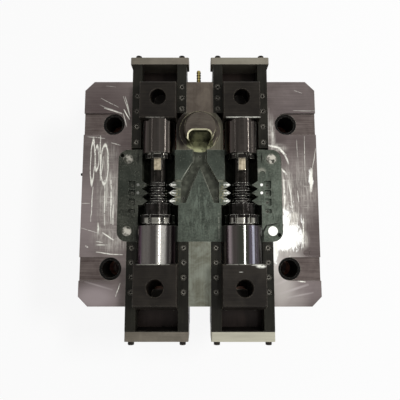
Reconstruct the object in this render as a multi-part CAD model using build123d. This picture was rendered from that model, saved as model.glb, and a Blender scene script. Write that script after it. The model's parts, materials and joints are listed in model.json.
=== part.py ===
from build123d import *

import os
from dataclasses import dataclass
from math import cos, radians, sin, tan

# Moving half of a two-cavity die-casting mould with four core slides.
# Lengths in millimetres, angles in degrees. +Z is up, out of the parting face; +Y is the rear.
# The origin is the centre of the base plate's back face.

# Plates of the stack, from the back up to the parting face
plate_w = 500.0
plate_d = 480.0
holder_t = 130.0
spacer_h = 90.0
spacer_w = 52.0
base_t = 40.0
base_overhang = 30.0
corner_chamfer = 20.0
base_edge_chamfer = 2.0

# Clearances
fit_gap = 0.05
slide_gap = 0.1
core_gap = 0.3
screw_gap = 0.3
pin_gap = 0.05

# How far a cutting tool runs on past the face that it cuts
past = 1.0

# Cavity insert and its mould cavities
insert_w = 348.0
insert_rear = 88.0
insert_front = 108.0
insert_t = 80.0
insert_corner_r = 21.0
ear_reach = 15.0
ear_depth = 1.5
ear_hole_d = 9.0
ear_hole_depth = 20.0
ear_hole_out = 13.0
ear_hole_aside = 8.0
cavity_x = 88.0
fin_tip_r = 22.5
fin_root_r = 36.0
fin_pitch = 17.25
fin_first_y = 12.0
fin_count = 3
well_depth = 9.0
well_x = 136.0
well_w = 15.5
well_corner_r = 3.0
vent_depth = 2.0
vent_w = 4.0
vent_boss_x = 133.0
vent_boss_y = 36.0
vent_boss_d = 12.0

# Runner from the spreader to the two cavities
runner_w = 31.0
runner_depth = 14.0
runner_draft = 8.0
runner_fork_y = 62.0
runner_apex_y = 48.0
leg_out_x = 41.0
leg_out_y = 17.0
leg_end_y = -27.0
leg_end_x = 29.5
gate_depth = 3.0
gate_w = 7.0

# Spreader
spreader_y = 130.0
spreader_seat_d = 88.0
spreader_boss_d = 70.0
spreader_boss_h = 22.0
spreader_depth = 75.0
spreader_edge = 1.5
spreader_rim = 3.0
spreader_rim_angle = 45.0
spreader_web_d = 104.0
spreader_web_x = 50.0
spreader_slot_w = 48.0
spreader_slot_r = 12.0
spreader_slot_start = 4.0
spreader_slot_neck = 24.0
spreader_ramp_h = 8.0
spreader_ramp_run = 14.0

# Guide bushes and the relief slots they stand in
bush_x = 186.0
bush_rear_y = 145.0
bush_front_y = 164.0
bush_bore_d = 35.0
bush_od = 47.0
bush_len = 70.0
bush_chamfer = 0.9
bush_escape_d = 40.0
relief_depth = 6.0
relief_margin = 0.5

# Slide stations, rear pair
rear_core_d = 70.0
rear_channel_w = 118.0
rear_gib_w = 20.5
rear_base_depth = 46.0
rear_block_top = 35.0
rear_block_front = 148.0
rear_block_len = 78.0
rear_pin_bore_y = 193.0
rear_pin_bore_d = 33.0
rear_gib_inner_start = 170.0
rear_gib_outer_start = 92.0
rear_bracket_len = 41.0
rear_end_plate_w = 128.0
rear_end_plate_t = 15.5
rear_end_screw_x = 48.0
rear_tip_y = 14.0
rear_neck_d = 38.0
rear_crown_d = 60.0
rear_crown_len = 10.0
rear_shoulder_y = 74.0

# Slide stations, front pair
front_core_d = 85.0
front_channel_w = 130.0
front_gib_w = 21.5
front_base_depth = 50.0
front_block_top = 46.0
front_block_front = 153.0
front_block_len = 81.0
front_pin_bore_y = 199.0
front_pin_bore_d = 33.0
front_gib_start = 109.0
front_bracket_len = 48.5
front_end_plate_w = 130.0
front_end_plate_t = 21.0
front_end_screw_x = 53.0
front_neck_d = 59.0
front_crown_d = 74.0
front_crown_len = 17.0
front_crown_gap = 4.0
front_shoulder_y = 75.0
front_neck_end_y = 30.0
front_groove_d = 28.0
front_ring_d = 40.0
front_ring_count = 4

# What all four stations share
block_tongue = 5.0
tongue_h = 12.0
wear_plate_t = 6.0
heel_angle = 15.0
pin_lean = 12.0
pin_bore_chamfer = 1.25
pin_pocket_lap = 5.0
pin_pocket_depth = 15.0
pin_pocket_margin = 2.0
bracket_h = 50.0
bracket_edge = 4.0
crown_bars = 8
crown_slot_w = 4.0
crown_slot_depth = 5.0
key_w = 14.0
key_len = 24.0
key_t = 8.0
key_sink = 4.0
spigot_d = 34.0
spigot_len = 12.0
tip_gap = 0.4
tip_chamfer = 1.5
block_chamfer = 1.5
end_plate_chamfer = 2.0
core_screw_d = 10.0
core_screw_x = 24.0
core_screw_drop = 12.0
core_screw_bite = 20.0
wear_screw_d = 6.0
wear_screw_head = 3.0
wear_screw_bite = 10.0
wear_screw_margin = 12.0
wear_screw_past = 9.5
bracket_screw_x = 30.0
bracket_screw_bite = 20.0
end_screw_bite = 14.0
end_screw_drop = 12.0
end_plate_drop = 38.0
end_plate_skirt = 20.0

# Gib screws: distance of the first from the mould centre, and their pitch
gib_screw_d = 8.0
gib_screw_bite = 14.0
gib_screw_sink = 1.0
rear_inner_screw_y = 180.0
rear_inner_screw_pitch = 24.5
rear_outer_screw_y = 105.0
rear_outer_screw_pitch = 34.5
front_screw_y = 121.0
front_screw_pitch = 30.2

# Other fasteners
end_screw_d = 8.0
bracket_screw_d = 12.0
insert_screw_d = 12.0
insert_screw_bite = 20.0
insert_screw_x = 125.0
insert_screw_rear_y = 64.0
insert_screw_front_y = 88.0
insert_screw_mid_y = (10.0, -70.0)
base_screw_d = 16.0
base_screw_bite = 28.0
base_screw_inset = 55.0
head_sink = 1.0
ejector_screw_d = 8.0
ejector_screw_bite = 15.0
ejector_screw_inset_x = 14.0
ejector_screw_inset_y = 70.0
spreader_screw_x = 24.0

# Ejection
ejector_side_gap = 8.0
ejector_plate_w = plate_w - 2 * spacer_w - 2 * ejector_side_gap
ejector_end_gap = 10.0
ejector_plate_d = plate_d - 2 * ejector_end_gap
ejector_plate_t = 28.0
retainer_t = 20.0
stop_h = 5.0
stop_d = 30.0
stop_inset_x = 50.0
stop_inset_y = 80.0
stop_x = ejector_plate_w / 2 - stop_inset_x
stop_y = ejector_plate_d / 2 - stop_inset_y
return_pin_d = 20.0
return_pin_x = insert_w / 2 - insert_corner_r
return_rear_y = 68.0
return_front_y = 86.0
pin_head_extra = 6.0
pin_head_h = 6.0
ejector_pin_d = 6.0
land_pin_x = 131.0
pillar_d = 48.0
pillar_x = 88.0
pillar_y = 60.0
pillar_gap = 1.5
guide_pin_d = 24.0
guide_pin_inset_x = 30.0
guide_pin_inset_y = 35.0
guide_pin_x = ejector_plate_w / 2 - guide_pin_inset_x
guide_pin_socket = 18.0
guide_pin_gap = 0.05
guide_pin_y = ejector_plate_d / 2 - guide_pin_inset_y
guide_bush_wall = 6.0
guide_bush_flange = 4.0
knockout_d = 40.0
knockout_y = 120.0

# Spotface on the parting face, and side fittings
spotface_x = 222.0
spotface_y = 131.0
spotface_d = 14.0
spotface_depth = 1.0
eyebolt_bore_d = 21.0
eyebolt_depth = 45.0
eyebolt_drop = 85.0
nipple_x = -2.5
nipple_drop = 28.0
nipple_d = 9.0
nipple_bore_d = 5.0
nipple_len = 37.5
nipple_barbs = 5
nipple_hex = 14.0
nipple_hex_t = 6.0
nipple_barb = 0.6
nipple_thread_len = 12.0

# Heights that follow from the stack
spacer_top = base_t + spacer_h
parting = spacer_top + holder_t
insert_floor = parting - insert_t
stroke_top = base_t + stop_h + ejector_plate_t + retainer_t


@dataclass(frozen=True)
class Station:
    """Sizes of one slide station, built right of centre with +y outward, then mirrored into place."""

    row: int
    core_d: float
    channel_w: float
    gib_w: float
    base_depth: float
    block_top: float
    block_front: float
    block_len: float
    pin_bore_y: float
    pin_bore_d: float
    inner_gib_start: float
    outer_gib_start: float
    inner_screw_y: float
    inner_screw_pitch: float
    outer_screw_y: float
    outer_screw_pitch: float
    bracket_len: float
    end_plate_w: float
    end_plate_t: float
    end_screw_x: float

    @property
    def channel_start(self):
        """Distance from the mould centre to the insert's edge, where the channel begins."""
        return insert_rear if self.row > 0 else insert_front

    @property
    def base_z(self):
        """Underside of the slide block."""
        return parting - self.base_depth

    @property
    def floor_z(self):
        """Channel floor, under the wear plate."""
        return self.base_z - slide_gap - wear_plate_t

    @property
    def block_w(self):
        """Width of the slide block between the two gibs."""
        return self.channel_w - 2 * self.gib_w - 2 * slide_gap

    @property
    def heel_y(self):
        """Rearmost face of the slide block."""
        return self.block_front + self.block_len + self.block_top * tan(radians(heel_angle))

    @property
    def end_y(self):
        """Inner face of the end plate, which stops the slide."""
        return plate_d / 2 + self.bracket_len

    def pin_y(self, z):
        """Distance of the leaning angle-pin axis from the mould centre at height z."""
        return self.pin_bore_y + (parting + self.block_top - z) * tan(radians(pin_lean))


REAR = Station(
    row=1, core_d=rear_core_d, channel_w=rear_channel_w, gib_w=rear_gib_w,
    base_depth=rear_base_depth, block_top=rear_block_top, block_front=rear_block_front,
    block_len=rear_block_len, pin_bore_y=rear_pin_bore_y, pin_bore_d=rear_pin_bore_d,
    inner_gib_start=rear_gib_inner_start, outer_gib_start=rear_gib_outer_start,
    inner_screw_y=rear_inner_screw_y, inner_screw_pitch=rear_inner_screw_pitch,
    outer_screw_y=rear_outer_screw_y, outer_screw_pitch=rear_outer_screw_pitch,
    bracket_len=rear_bracket_len, end_plate_w=rear_end_plate_w, end_plate_t=rear_end_plate_t,
    end_screw_x=rear_end_screw_x,
)
FRONT = Station(
    row=-1, core_d=front_core_d, channel_w=front_channel_w, gib_w=front_gib_w,
    base_depth=front_base_depth, block_top=front_block_top, block_front=front_block_front,
    block_len=front_block_len, pin_bore_y=front_pin_bore_y, pin_bore_d=front_pin_bore_d,
    inner_gib_start=front_gib_start, outer_gib_start=front_gib_start,
    inner_screw_y=front_screw_y, inner_screw_pitch=front_screw_pitch,
    outer_screw_y=front_screw_y, outer_screw_pitch=front_screw_pitch,
    bracket_len=front_bracket_len, end_plate_w=front_end_plate_w, end_plate_t=front_end_plate_t,
    end_screw_x=front_end_screw_x,
)
SIDES = {"left": -1, "right": 1}
ROWS = {"rear": REAR, "front": FRONT}


# Shape helpers

def slab(x0, x1, y0, y1, z0, z1):
    """A box given by its two corners."""
    return Pos((x0 + x1) / 2, (y0 + y1) / 2, (z0 + z1) / 2) * Box(x1 - x0, y1 - y0, z1 - z0)


def post(x, y, z0, z1, d):
    """An upright cylinder between two heights."""
    return Pos(x, y, (z0 + z1) / 2) * Cylinder(d / 2, z1 - z0)


def rod(x, z, y0, y1, d):
    """A cylinder along Y."""
    return Pos(x, (y0 + y1) / 2, z) * Rot(90, 0, 0) * Cylinder(d / 2, y1 - y0)


def side_profile(points, x0, x1):
    """A (y, z) outline extruded along X."""
    face = Plane((x0, 0, 0), x_dir=(0, 1, 0), z_dir=(1, 0, 0)) * Polygon(*points, align=None)
    return extrude(face, x1 - x0, dir=(1, 0, 0))


def end_profile(points, y0, y1):
    """An (x, z) outline extruded along Y."""
    face = Plane((0, y1, 0), x_dir=(1, 0, 0), z_dir=(0, -1, 0)) * Polygon(*points, align=None)
    return extrude(face, y1 - y0, dir=(0, -1, 0))


def turned_y(points, x, z):
    """A (radius, y) outline turned about a line along Y."""
    return Pos(x, 0, z) * revolve(Polygon(*points, align=None), Axis.Y)


def turned_z(points, x, y):
    """A (radius, z) outline turned about an upright line."""
    upright = Plane.XZ * Polygon(*points, align=None)
    return Pos(x, y, 0) * revolve(upright, Axis.Z)


def in_place(shape, side, row):
    """Turn or mirror a rear right station's shape to its own side and row."""
    if row < 0:
        shape = Rot(0, 0, 180) * shape
    if side * row < 0:
        shape = mirror(shape, about=Plane.YZ)
    return shape


def four_corners(x, rear_y, front_y):
    """The four corner places of a pattern: (x, y) pairs."""
    return [(sx * x, y) for sx in (-1, 1) for y in (rear_y, -front_y)]


def head_d(d):
    """Head diameter of a cap screw."""
    return 1.5 * d + 1.0


def cap_screw(d, grip, head_h=None):
    """A socket head cap screw, head seat at z = 0, shank down to -grip."""
    head_h = head_h or d
    head = Pos(0, 0, head_h / 2) * Cylinder(head_d(d) / 2, head_h)
    head = chamfer(head.faces().sort_by(Axis.Z)[-1].edges(), 0.1 * head_h)
    socket = Pos(0, 0, 0.45 * head_h) * extrude(RegularPolygon(0.45 * d, 6), head_h)
    return head + post(0, 0, -grip, 0, d) - socket


def screw_hole(d, grip, recess):
    """Hole for a cap screw: shank hole below the head seat, and a head recess up to the given height."""
    hole = post(0, 0, -grip - screw_gap, 0.01, d + 2 * pin_gap)
    if recess > 0:
        hole += post(0, 0, 0, recess, head_d(d) + 2 * screw_gap)
    return hole


def joined(shapes):
    """Several separate solids as one group."""
    solids = [solid for shape in shapes for solid in shape.solids()]
    return Compound(children=solids)


DOWN = Rot(180, 0, 0)
OUTWARD = Rot(-90, 0, 0)


# Screw patterns: lists of placed locations, shared by the screws and by the holes they need

def gib_screw_places(station):
    """Places of both gibs' screws in the holder, with their head seats sunk below the gib's top."""
    seat = parting - gib_screw_d - gib_screw_sink
    x = (station.channel_w - station.gib_w) / 2
    rows = ((-x, station.inner_screw_y, station.inner_screw_pitch),
            (x, station.outer_screw_y, station.outer_screw_pitch))
    places = []
    for offset, first, pitch in rows:
        count = int((plate_d / 2 - head_d(gib_screw_d) / 2 - first) / pitch) + 1
        places += [Pos(cavity_x + offset, first + index * pitch, seat) for index in range(count)]
    return places


def end_screw_places(station):
    """Places of the two screws that hold the end plate to the ends of the gibs."""
    face = station.end_y + station.end_plate_t
    return [Pos(cavity_x + side * station.end_screw_x, face, parting - end_screw_drop) * OUTWARD
            for side in (-1, 1)]


def bracket_screw_places(station):
    """Places of the screws that hold the bracket to the holder block."""
    z = station.floor_z - bracket_h + head_d(bracket_screw_d) / 2 + bracket_edge
    seat = station.end_y - bracket_screw_d - head_sink
    return [Pos(cavity_x + side * bracket_screw_x, seat, z) * OUTWARD for side in (-1, 1)]


def core_screw_places(station):
    """Places of the two screws that draw the core against its slide block."""
    seat = station.heel_y - core_screw_d - head_sink
    z = parting - core_screw_drop
    return [Pos(cavity_x + side * core_screw_x, seat, z) * OUTWARD for side in (-1, 1)]


def wear_screw_places(station):
    """Places of the low-head screws that hold the wear plate on the channel floor."""
    seat = station.floor_z + wear_plate_t - wear_screw_head - 2 * slide_gap
    x = station.block_w / 2 - wear_screw_margin
    ys = (station.block_front + wear_screw_margin, plate_d / 2 + wear_screw_past)
    return [Pos(cavity_x + side * x, y, seat) for side in (-1, 1) for y in ys]


def insert_screw_places():
    """Places of the screws that pull the cavity insert into its pocket, from the holder's back."""
    seat = spacer_top + insert_screw_d + head_sink
    places = four_corners(insert_screw_x, insert_screw_rear_y, insert_screw_front_y)
    places += [(0.0, y) for y in insert_screw_mid_y]
    return [Pos(x, y, seat) * DOWN for x, y in places]


def spreader_screw_places():
    """Places of the screws that hold the spreader, from the holder's back."""
    seat = spacer_top + insert_screw_d + head_sink
    return [Pos(side * spreader_screw_x, spreader_y, seat) * DOWN for side in (-1, 1)]


def base_screw_places():
    """Places of the screws through the base plate and the spacers into the holder block."""
    x = (plate_w - spacer_w) / 2
    y = plate_d / 2 - base_screw_inset
    z = base_screw_d + head_sink
    return [Pos(side * x, step * y, z) * DOWN for side in (-1, 1) for step in (-1, 0, 1)]


def ejector_screw_places():
    """Places of the screws that hold the ejector plate to its retainer."""
    x = ejector_plate_w / 2 - ejector_screw_inset_x
    y = ejector_plate_d / 2 - ejector_screw_inset_y
    seat = base_t + stop_h + ejector_screw_d + head_sink
    return [Pos(side * x, step * y, seat) * DOWN for side in (-1, 1) for step in (-1, 0, 1)]


# Grip of each kind of screw, from its head seat to its end

def gib_grip(station):
    """From the seat in the gib, through it and into the holder."""
    return parting - gib_screw_d - gib_screw_sink - station.floor_z + gib_screw_bite


def bracket_grip(station):
    """From the seat in the bracket into the holder's side."""
    return station.bracket_len - bracket_screw_d - head_sink + bracket_screw_bite


def core_grip(station):
    """From the seat in the slide block's heel into the core."""
    return station.heel_y - core_screw_d - head_sink - station.block_front + core_screw_bite


wear_grip = wear_plate_t - wear_screw_head + wear_screw_bite
insert_grip = holder_t - insert_t - insert_screw_d - head_sink + insert_screw_bite
spreader_grip = holder_t - spreader_depth - insert_screw_d - head_sink + insert_screw_bite
base_grip = base_t - base_screw_d - head_sink + spacer_h + base_screw_bite
ejector_grip = ejector_plate_t - ejector_screw_d - head_sink + ejector_screw_bite


def placed(shape, places):
    """A shape repeated at each place."""
    return [place * shape for place in places]


def drilled(body, tools):
    """A body with each tool cut out of it."""
    for tool in tools:
        body = body - tool
    return body


# Pin patterns

def return_pin_places():
    """(x, y) of the four return pins."""
    return four_corners(return_pin_x, return_rear_y, return_front_y)


def fin_y(index):
    """Y of one cooling-fin tip in the cavities, counted from the rear."""
    return fin_first_y - index * fin_pitch


def well_places():
    """(x, y, length) of the overflow wells beside the right cavity."""
    x = well_x + well_w / 2
    return [(x, fin_y(0), 18.0), (x, fin_y(1), 13.5), (x, fin_y(2) - 2.5, 16.0), (x, fin_y(3) - 4.5, 10.0)]


def ejector_pin_places():
    """(x, y, top) of the ejector pins: in the wells, on the lands and in the runner."""
    runner_floor = parting - runner_depth
    pins = [(0.0, runner_fork_y + 14.0, runner_floor)]
    for side in (-1, 1):
        pins += [(side * x, y, parting - well_depth) for x, y, _ in well_places()]
        pins += [(side * land_pin_x, fin_y(index), parting) for index in (0, 1)]
        pins.append((side * (leg_end_x + leg_out_x) / 2, leg_end_y + 12.0, runner_floor))
    return pins


def pin_holes(z0, z1, extra=0.0):
    """Holes for every return and ejector pin between two heights, wider than the pins by extra."""
    holes = [post(x, y, z0, z1, return_pin_d + 2 * pin_gap + extra) for x, y in return_pin_places()]
    holes += [post(x, y, z0, z1, ejector_pin_d + 2 * pin_gap + extra) for x, y, _ in ejector_pin_places()]
    return holes


def guide_pin_places():
    """(x, y) of the four pins that guide the ejector plates."""
    return four_corners(guide_pin_x, guide_pin_y, guide_pin_y)


# Parting-face pieces

def pin_relief(station):
    """Slanted pocket under the slide block for the end of its angle pin."""
    lean = radians(pin_lean)
    depth = station.base_depth + slide_gap + wear_plate_t + pin_pocket_depth
    top = parting - station.base_depth + pin_pocket_lap
    length = (top - (parting - depth)) / cos(lean)
    radius = station.pin_bore_d / 2 + pin_pocket_margin
    tool = Cylinder(radius, length, align=(Align.CENTER, Align.CENTER, Align.MAX))
    return Pos(cavity_x, station.pin_y(top), top) * Rot(pin_lean, 0, 0) * tool


def spreader_web():
    """Steel of the holder that stays round the spreader, between the two rear channels."""
    disc = post(0, spreader_y, spacer_top, parting + past, spreader_web_d)
    disc = disc & slab(-spreader_web_x, spreader_web_x, 0, rear_gib_inner_start, spacer_top, parting + past)
    return disc + slab(-spreader_web_x, spreader_web_x, 0, spreader_y, spacer_top, parting + past)


def channel(station):
    """The channel through the holder for one slide, with its tongue slot and angle-pin pocket."""
    half = station.channel_w / 2
    cut = slab(cavity_x - half, cavity_x + half, station.channel_start - insert_corner_r, plate_d / 2 + past,
               station.floor_z, parting + past)
    if station.row > 0:
        cut = cut - spreader_web()
    slot = half - station.gib_w + block_tongue + slide_gap
    cut = cut + slab(cavity_x - slot, cavity_x + slot, station.block_front - slide_gap, plate_d / 2 + past,
                     station.floor_z, station.base_z + tongue_h + slide_gap)
    return cut + pin_relief(station)


def relief_slot(x, y):
    """Shallow slot from a guide bush to the side of the holder, round about the bush."""
    width = bush_od + 2 * relief_margin
    z0 = parting - relief_depth
    outward = 1 if x > 0 else -1
    edge = outward * (plate_w / 2 + past)
    return post(x, y, z0, parting + past, width) + slab(min(x, edge), max(x, edge), y - width / 2, y + width / 2,
                                                     z0, parting + past)


def insert_outline(gap, z0, z1):
    """The insert's rounded block, grown by a gap."""
    body = slab(-insert_w / 2 - gap, insert_w / 2 + gap, -insert_front - gap, insert_rear + gap, z0, z1)
    return fillet(body.edges().filter_by(Axis.Z), insert_corner_r + gap)


def bush_places():
    """Name and (x, y) of each guide bush."""
    return {"rear_left": (-bush_x, bush_rear_y), "rear_right": (bush_x, bush_rear_y),
            "front_left": (-bush_x, -bush_front_y), "front_right": (bush_x, -bush_front_y)}


def holder_block():
    """The big plate with the insert pocket, the four channels and every hole through it."""
    body = stack_outline(spacer_top, parting)
    body = body - insert_outline(fit_gap, insert_floor, parting + past)
    for station in ROWS.values():
        for side in SIDES.values():
            cuts = [channel(station)]
            cuts += placed(screw_hole(gib_screw_d, gib_grip(station), 0), gib_screw_places(station))
            bracket_hole = screw_hole(bracket_screw_d, bracket_grip(station), 0)
            cuts += placed(bracket_hole, bracket_screw_places(station))
            cuts += placed(screw_hole(wear_screw_d, wear_grip, 0), wear_screw_places(station))
            body = drilled(body, [in_place(cut, side, station.row) for cut in cuts])
    body = body - post(0, spreader_y, parting - spreader_depth, parting + past, spreader_seat_d + 2 * fit_gap)
    for x, y in bush_places().values():
        body = body - relief_slot(x, y)
        body = body - post(x, y, parting - relief_depth - bush_len, parting, bush_od + 2 * fit_gap)
        body = body - post(x, y, spacer_top - past, parting, bush_escape_d)
    holes = pin_holes(spacer_top - past, insert_floor + past)
    recess = insert_screw_d + head_sink + past
    holes += placed(screw_hole(insert_screw_d, insert_grip, recess), insert_screw_places())
    holes += placed(screw_hole(insert_screw_d, spreader_grip, recess), spreader_screw_places())
    holes += placed(screw_hole(base_screw_d, base_grip, 0), base_screw_places())
    holes += [post(x, y, spacer_top - past, spacer_top + guide_pin_socket, guide_pin_d + 2 * pin_gap)
              for x, y in guide_pin_places()]
    holes.append(post(spotface_x, -spotface_y, parting - spotface_depth, parting + past, spotface_d))
    front = -plate_d / 2
    holes.append(rod(0, parting - eyebolt_drop, front - past, front + eyebolt_depth, eyebolt_bore_d))
    holes.append(rod(nipple_x, parting - nipple_drop, plate_d / 2 - nipple_thread_len - past, plate_d / 2 + past,
                     nipple_d + 2 * pin_gap))
    return drilled(body, holes)


def cavity_trough():
    """Turned space of one cavity: rear core bore, cooling fins, front core bore."""
    points = [(0, insert_rear + past), (rear_core_d / 2 + core_gap, insert_rear + past),
              (rear_core_d / 2 + core_gap, fin_y(-0.5))]
    for index in range(fin_count):
        points += [(fin_root_r, fin_y(index - 0.5)), (fin_tip_r, fin_y(index))]
    points += [(fin_root_r, fin_y(fin_count - 0.5)), (front_core_d / 2 + core_gap, fin_y(fin_count - 0.5)),
               (front_core_d / 2 + core_gap, -insert_front - past), (0, -insert_front - past)]
    return turned_y(points, cavity_x, parting)


def runner():
    """Forked runner in the insert, with drafted walls."""
    face = Plane.XY.offset(parting)
    trunk = Polygon((-runner_w / 2, runner_apex_y + 4), (runner_w / 2, runner_apex_y + 4),
                    (runner_w / 2, insert_rear + 4), (-runner_w / 2, insert_rear + 4), align=None)
    leg = Polygon((leg_end_x, leg_end_y), (leg_out_x, leg_end_y), (leg_out_x, leg_out_y),
                  (runner_w / 2, runner_fork_y), (0, runner_fork_y), (0, runner_apex_y), align=None)
    right = extrude(face * leg, -runner_depth, taper=runner_draft)
    return extrude(face * trunk, -runner_depth, taper=runner_draft) + right + in_place(right, -1, 1)


def gate(y):
    """Shallow fan from the runner's leg to a cavity, between two fins."""
    x0 = leg_out_x - 2.0
    x1 = cavity_x - fin_root_r + 3.0
    fan = Plane.XY.offset(parting) * Polygon((x0, y - gate_w / 3), (x1, y - gate_w / 2), (x1, y + gate_w / 2),
                                             (x0, y + gate_w / 3), align=None)
    return extrude(fan, -gate_depth)


def overflow_well(x, y, length):
    """Rounded overflow pocket beside a cavity, with its shallow vent from the cavity's edge."""
    half = well_w / 2
    pocket = slab(x - half, x + half, y - length / 2, y + length / 2, parting - well_depth, parting + past)
    pocket = fillet(pocket.edges().filter_by(Axis.Z), well_corner_r)
    edge = cavity_x + fin_tip_r
    return pocket + slab(edge, x, y - vent_w / 2, y + vent_w / 2, parting - vent_depth, parting + past)


def ear_recess():
    """Shallow recess round one return pin, out to the insert's corner (front right)."""
    x0 = return_pin_x - ear_reach
    y1 = -return_front_y + ear_reach
    edge = insert_corner_r + ear_reach
    body = slab(x0, x0 + 2 * edge, y1 - 2 * edge, y1, parting - ear_depth, parting + past)
    corner = body.edges().filter_by(Axis.Z).sort_by(Axis.X)[:2].sort_by(Axis.Y)[-1]
    return fillet(corner, ear_reach - 1)


def cavity_insert():
    """Hardened insert with both cavities, the runner, gates, overflow wells and pin holes."""
    body = insert_outline(0, insert_floor, parting)
    body = body - post(0, spreader_y, insert_floor - past, parting + past, spreader_seat_d + 2 * fit_gap)
    body = body - runner()
    cuts = [cavity_trough()]
    cuts += [gate(fin_y(index - 0.5)) for index in range(fin_count)]
    cuts += [overflow_well(x, y, length) for x, y, length in well_places()]
    shift = return_front_y - return_rear_y
    cuts += [ear_recess(), Pos(0, -shift, 0) * in_place(ear_recess(), -1, -1)]
    cuts.append(post(vent_boss_x, vent_boss_y, parting - vent_depth, parting + past, vent_boss_d))
    for side in SIDES.values():
        body = drilled(body, [in_place(cut, side, 1) for cut in cuts])
    holes = pin_holes(insert_floor - past, parting + past)
    holes += placed(screw_hole(insert_screw_d, insert_grip, 0), insert_screw_places())
    for side, y in ((-1, return_rear_y + ear_hole_aside), (1, -return_front_y - ear_hole_aside)):
        x = side * (return_pin_x + ear_hole_out)
        holes.append(post(x, y, parting - ear_hole_depth, parting + past, ear_hole_d))
    return drilled(body, holes)


def insert_screws():
    """Screws of the insert and of the spreader, all from the holder's back."""
    screws = placed(cap_screw(insert_screw_d, insert_grip), insert_screw_places())
    return joined(screws + placed(cap_screw(insert_screw_d, spreader_grip), spreader_screw_places()))


def spreader():
    """Round sprue spreader: a seated flange, a raised boss and the slot that leads into the runner."""
    seat = spreader_seat_d / 2
    boss = spreader_boss_d / 2
    top = parting + spreader_boss_h
    body = turned_z([(0, parting - spreader_depth), (seat, parting - spreader_depth), (seat, parting),
                     (boss + spreader_edge, parting), (boss, parting + spreader_edge),
                     (boss, top - spreader_edge), (boss - spreader_edge, top), (0, top)], 0, spreader_y)
    half = spreader_slot_w / 2
    exit_y = spreader_y - boss
    mouth = parting - runner_depth
    end_y = spreader_y - seat - past
    start = spreader_y - spreader_slot_start
    neck = spreader_y - spreader_slot_neck
    side = runner_w / 2
    plan = Polygon((-half, start), (-half, neck), (-side, exit_y), (-side, end_y), (side, end_y),
                   (side, exit_y), (half, neck), (half, start), align=None)
    slot = extrude(Plane.XY.offset(mouth) * plan, spreader_boss_h + runner_depth + past, dir=(0, 0, 1))
    corners = slot.edges().filter_by(Axis.Z).sort_by(Axis.Y)[-2:]
    slot = fillet(corners, spreader_slot_r)
    ramp = side_profile([(spreader_y, top + 2), (spreader_y, parting + spreader_ramp_h),
                         (spreader_y - boss + spreader_ramp_run, mouth), (end_y, mouth), (end_y, top + 2)],
                        -half, half)
    body = body - (slot & ramp)
    wide = half + spreader_rim
    lip = Polygon((-wide, start + spreader_rim), (-wide, neck), (-side - spreader_rim, exit_y),
                  (side + spreader_rim, exit_y), (wide, neck), (wide, start + spreader_rim), align=None)
    lip = fillet(lip.vertices().sort_by(Axis.Y)[-2:], spreader_slot_r + spreader_rim)
    body = body - extrude(Plane.XY.offset(top) * lip, spreader_rim, taper=spreader_rim_angle, dir=(0, 0, -1))
    return drilled(body, placed(screw_hole(insert_screw_d, spreader_grip, 0), spreader_screw_places()))


def guide_bush(x, y):
    """Hardened bush for a guide pillar of the other mould half."""
    top = parting - relief_depth
    outer = bush_od / 2
    bore = bush_bore_d / 2
    return turned_z([(bore, top - bush_len), (outer, top - bush_len), (outer, top), (bore + bush_chamfer, top),
                     (bore, top - bush_chamfer)], x, y)


def gib(station, inner):
    """L-shaped gib over the slide's tongue, on the inner or outer side of its channel."""
    half = station.channel_w / 2 - fit_gap
    face = station.channel_w / 2 - station.gib_w
    foot = face + block_tongue + slide_gap
    lip = station.base_z + tongue_h + slide_gap
    start = station.inner_gib_start if inner else station.outer_gib_start
    body = end_profile([(face, parting), (half, parting), (half, station.floor_z), (foot, station.floor_z),
                        (foot, lip), (face, lip)], start, station.end_y)
    if inner:
        body = mirror(body, about=Plane.YZ)
    body = Pos(cavity_x, 0, 0) * body
    recess = gib_screw_d + gib_screw_sink + past
    body = drilled(body, placed(screw_hole(gib_screw_d, gib_grip(station), recess), gib_screw_places(station)))
    return drilled(body, placed(screw_hole(end_screw_d, end_grip(station), 0), end_screw_places(station)))


def end_grip(station):
    """From the seat on the end plate into the gibs."""
    return station.end_plate_t + end_screw_bite


def wear_plate(station):
    """Hardened plate that the slide block runs on."""
    half = station.channel_w / 2 - station.gib_w + block_tongue
    body = slab(cavity_x - half, cavity_x + half, station.block_front, station.end_y, station.floor_z,
                station.floor_z + wear_plate_t)
    recess = wear_plate_t
    body = drilled(body, placed(screw_hole(wear_screw_d, wear_grip, recess), wear_screw_places(station)))
    return body - pin_relief(station)


def bracket(station):
    """Block on the holder's side that carries the channel on past the mould's edge."""
    half = station.channel_w / 2 - fit_gap
    body = slab(cavity_x - half, cavity_x + half, plate_d / 2, station.end_y, station.floor_z - bracket_h,
                station.floor_z)
    recess = bracket_screw_d + head_sink + past
    cuts = placed(screw_hole(bracket_screw_d, bracket_grip(station), recess), bracket_screw_places(station))
    cuts += placed(screw_hole(wear_screw_d, wear_grip, 0), wear_screw_places(station))
    return drilled(body, cuts + [pin_relief(station)])


def end_plate(station):
    """Plate across the end of the gibs and bracket that stops the slide."""
    half = station.end_plate_w / 2
    body = slab(cavity_x - half, cavity_x + half, station.end_y, station.end_y + station.end_plate_t,
                parting - end_plate_drop, parting)
    body = chamfer(body.edges().filter_by(Axis.Y), end_plate_chamfer)
    half = station.channel_w / 2 - fit_gap
    body = body + slab(cavity_x - half, cavity_x + half, station.end_y, station.end_y + station.end_plate_t,
                       station.floor_z - end_plate_skirt, parting - end_plate_drop)
    return drilled(body, placed(screw_hole(end_screw_d, end_grip(station), 0), end_screw_places(station)))


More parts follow.
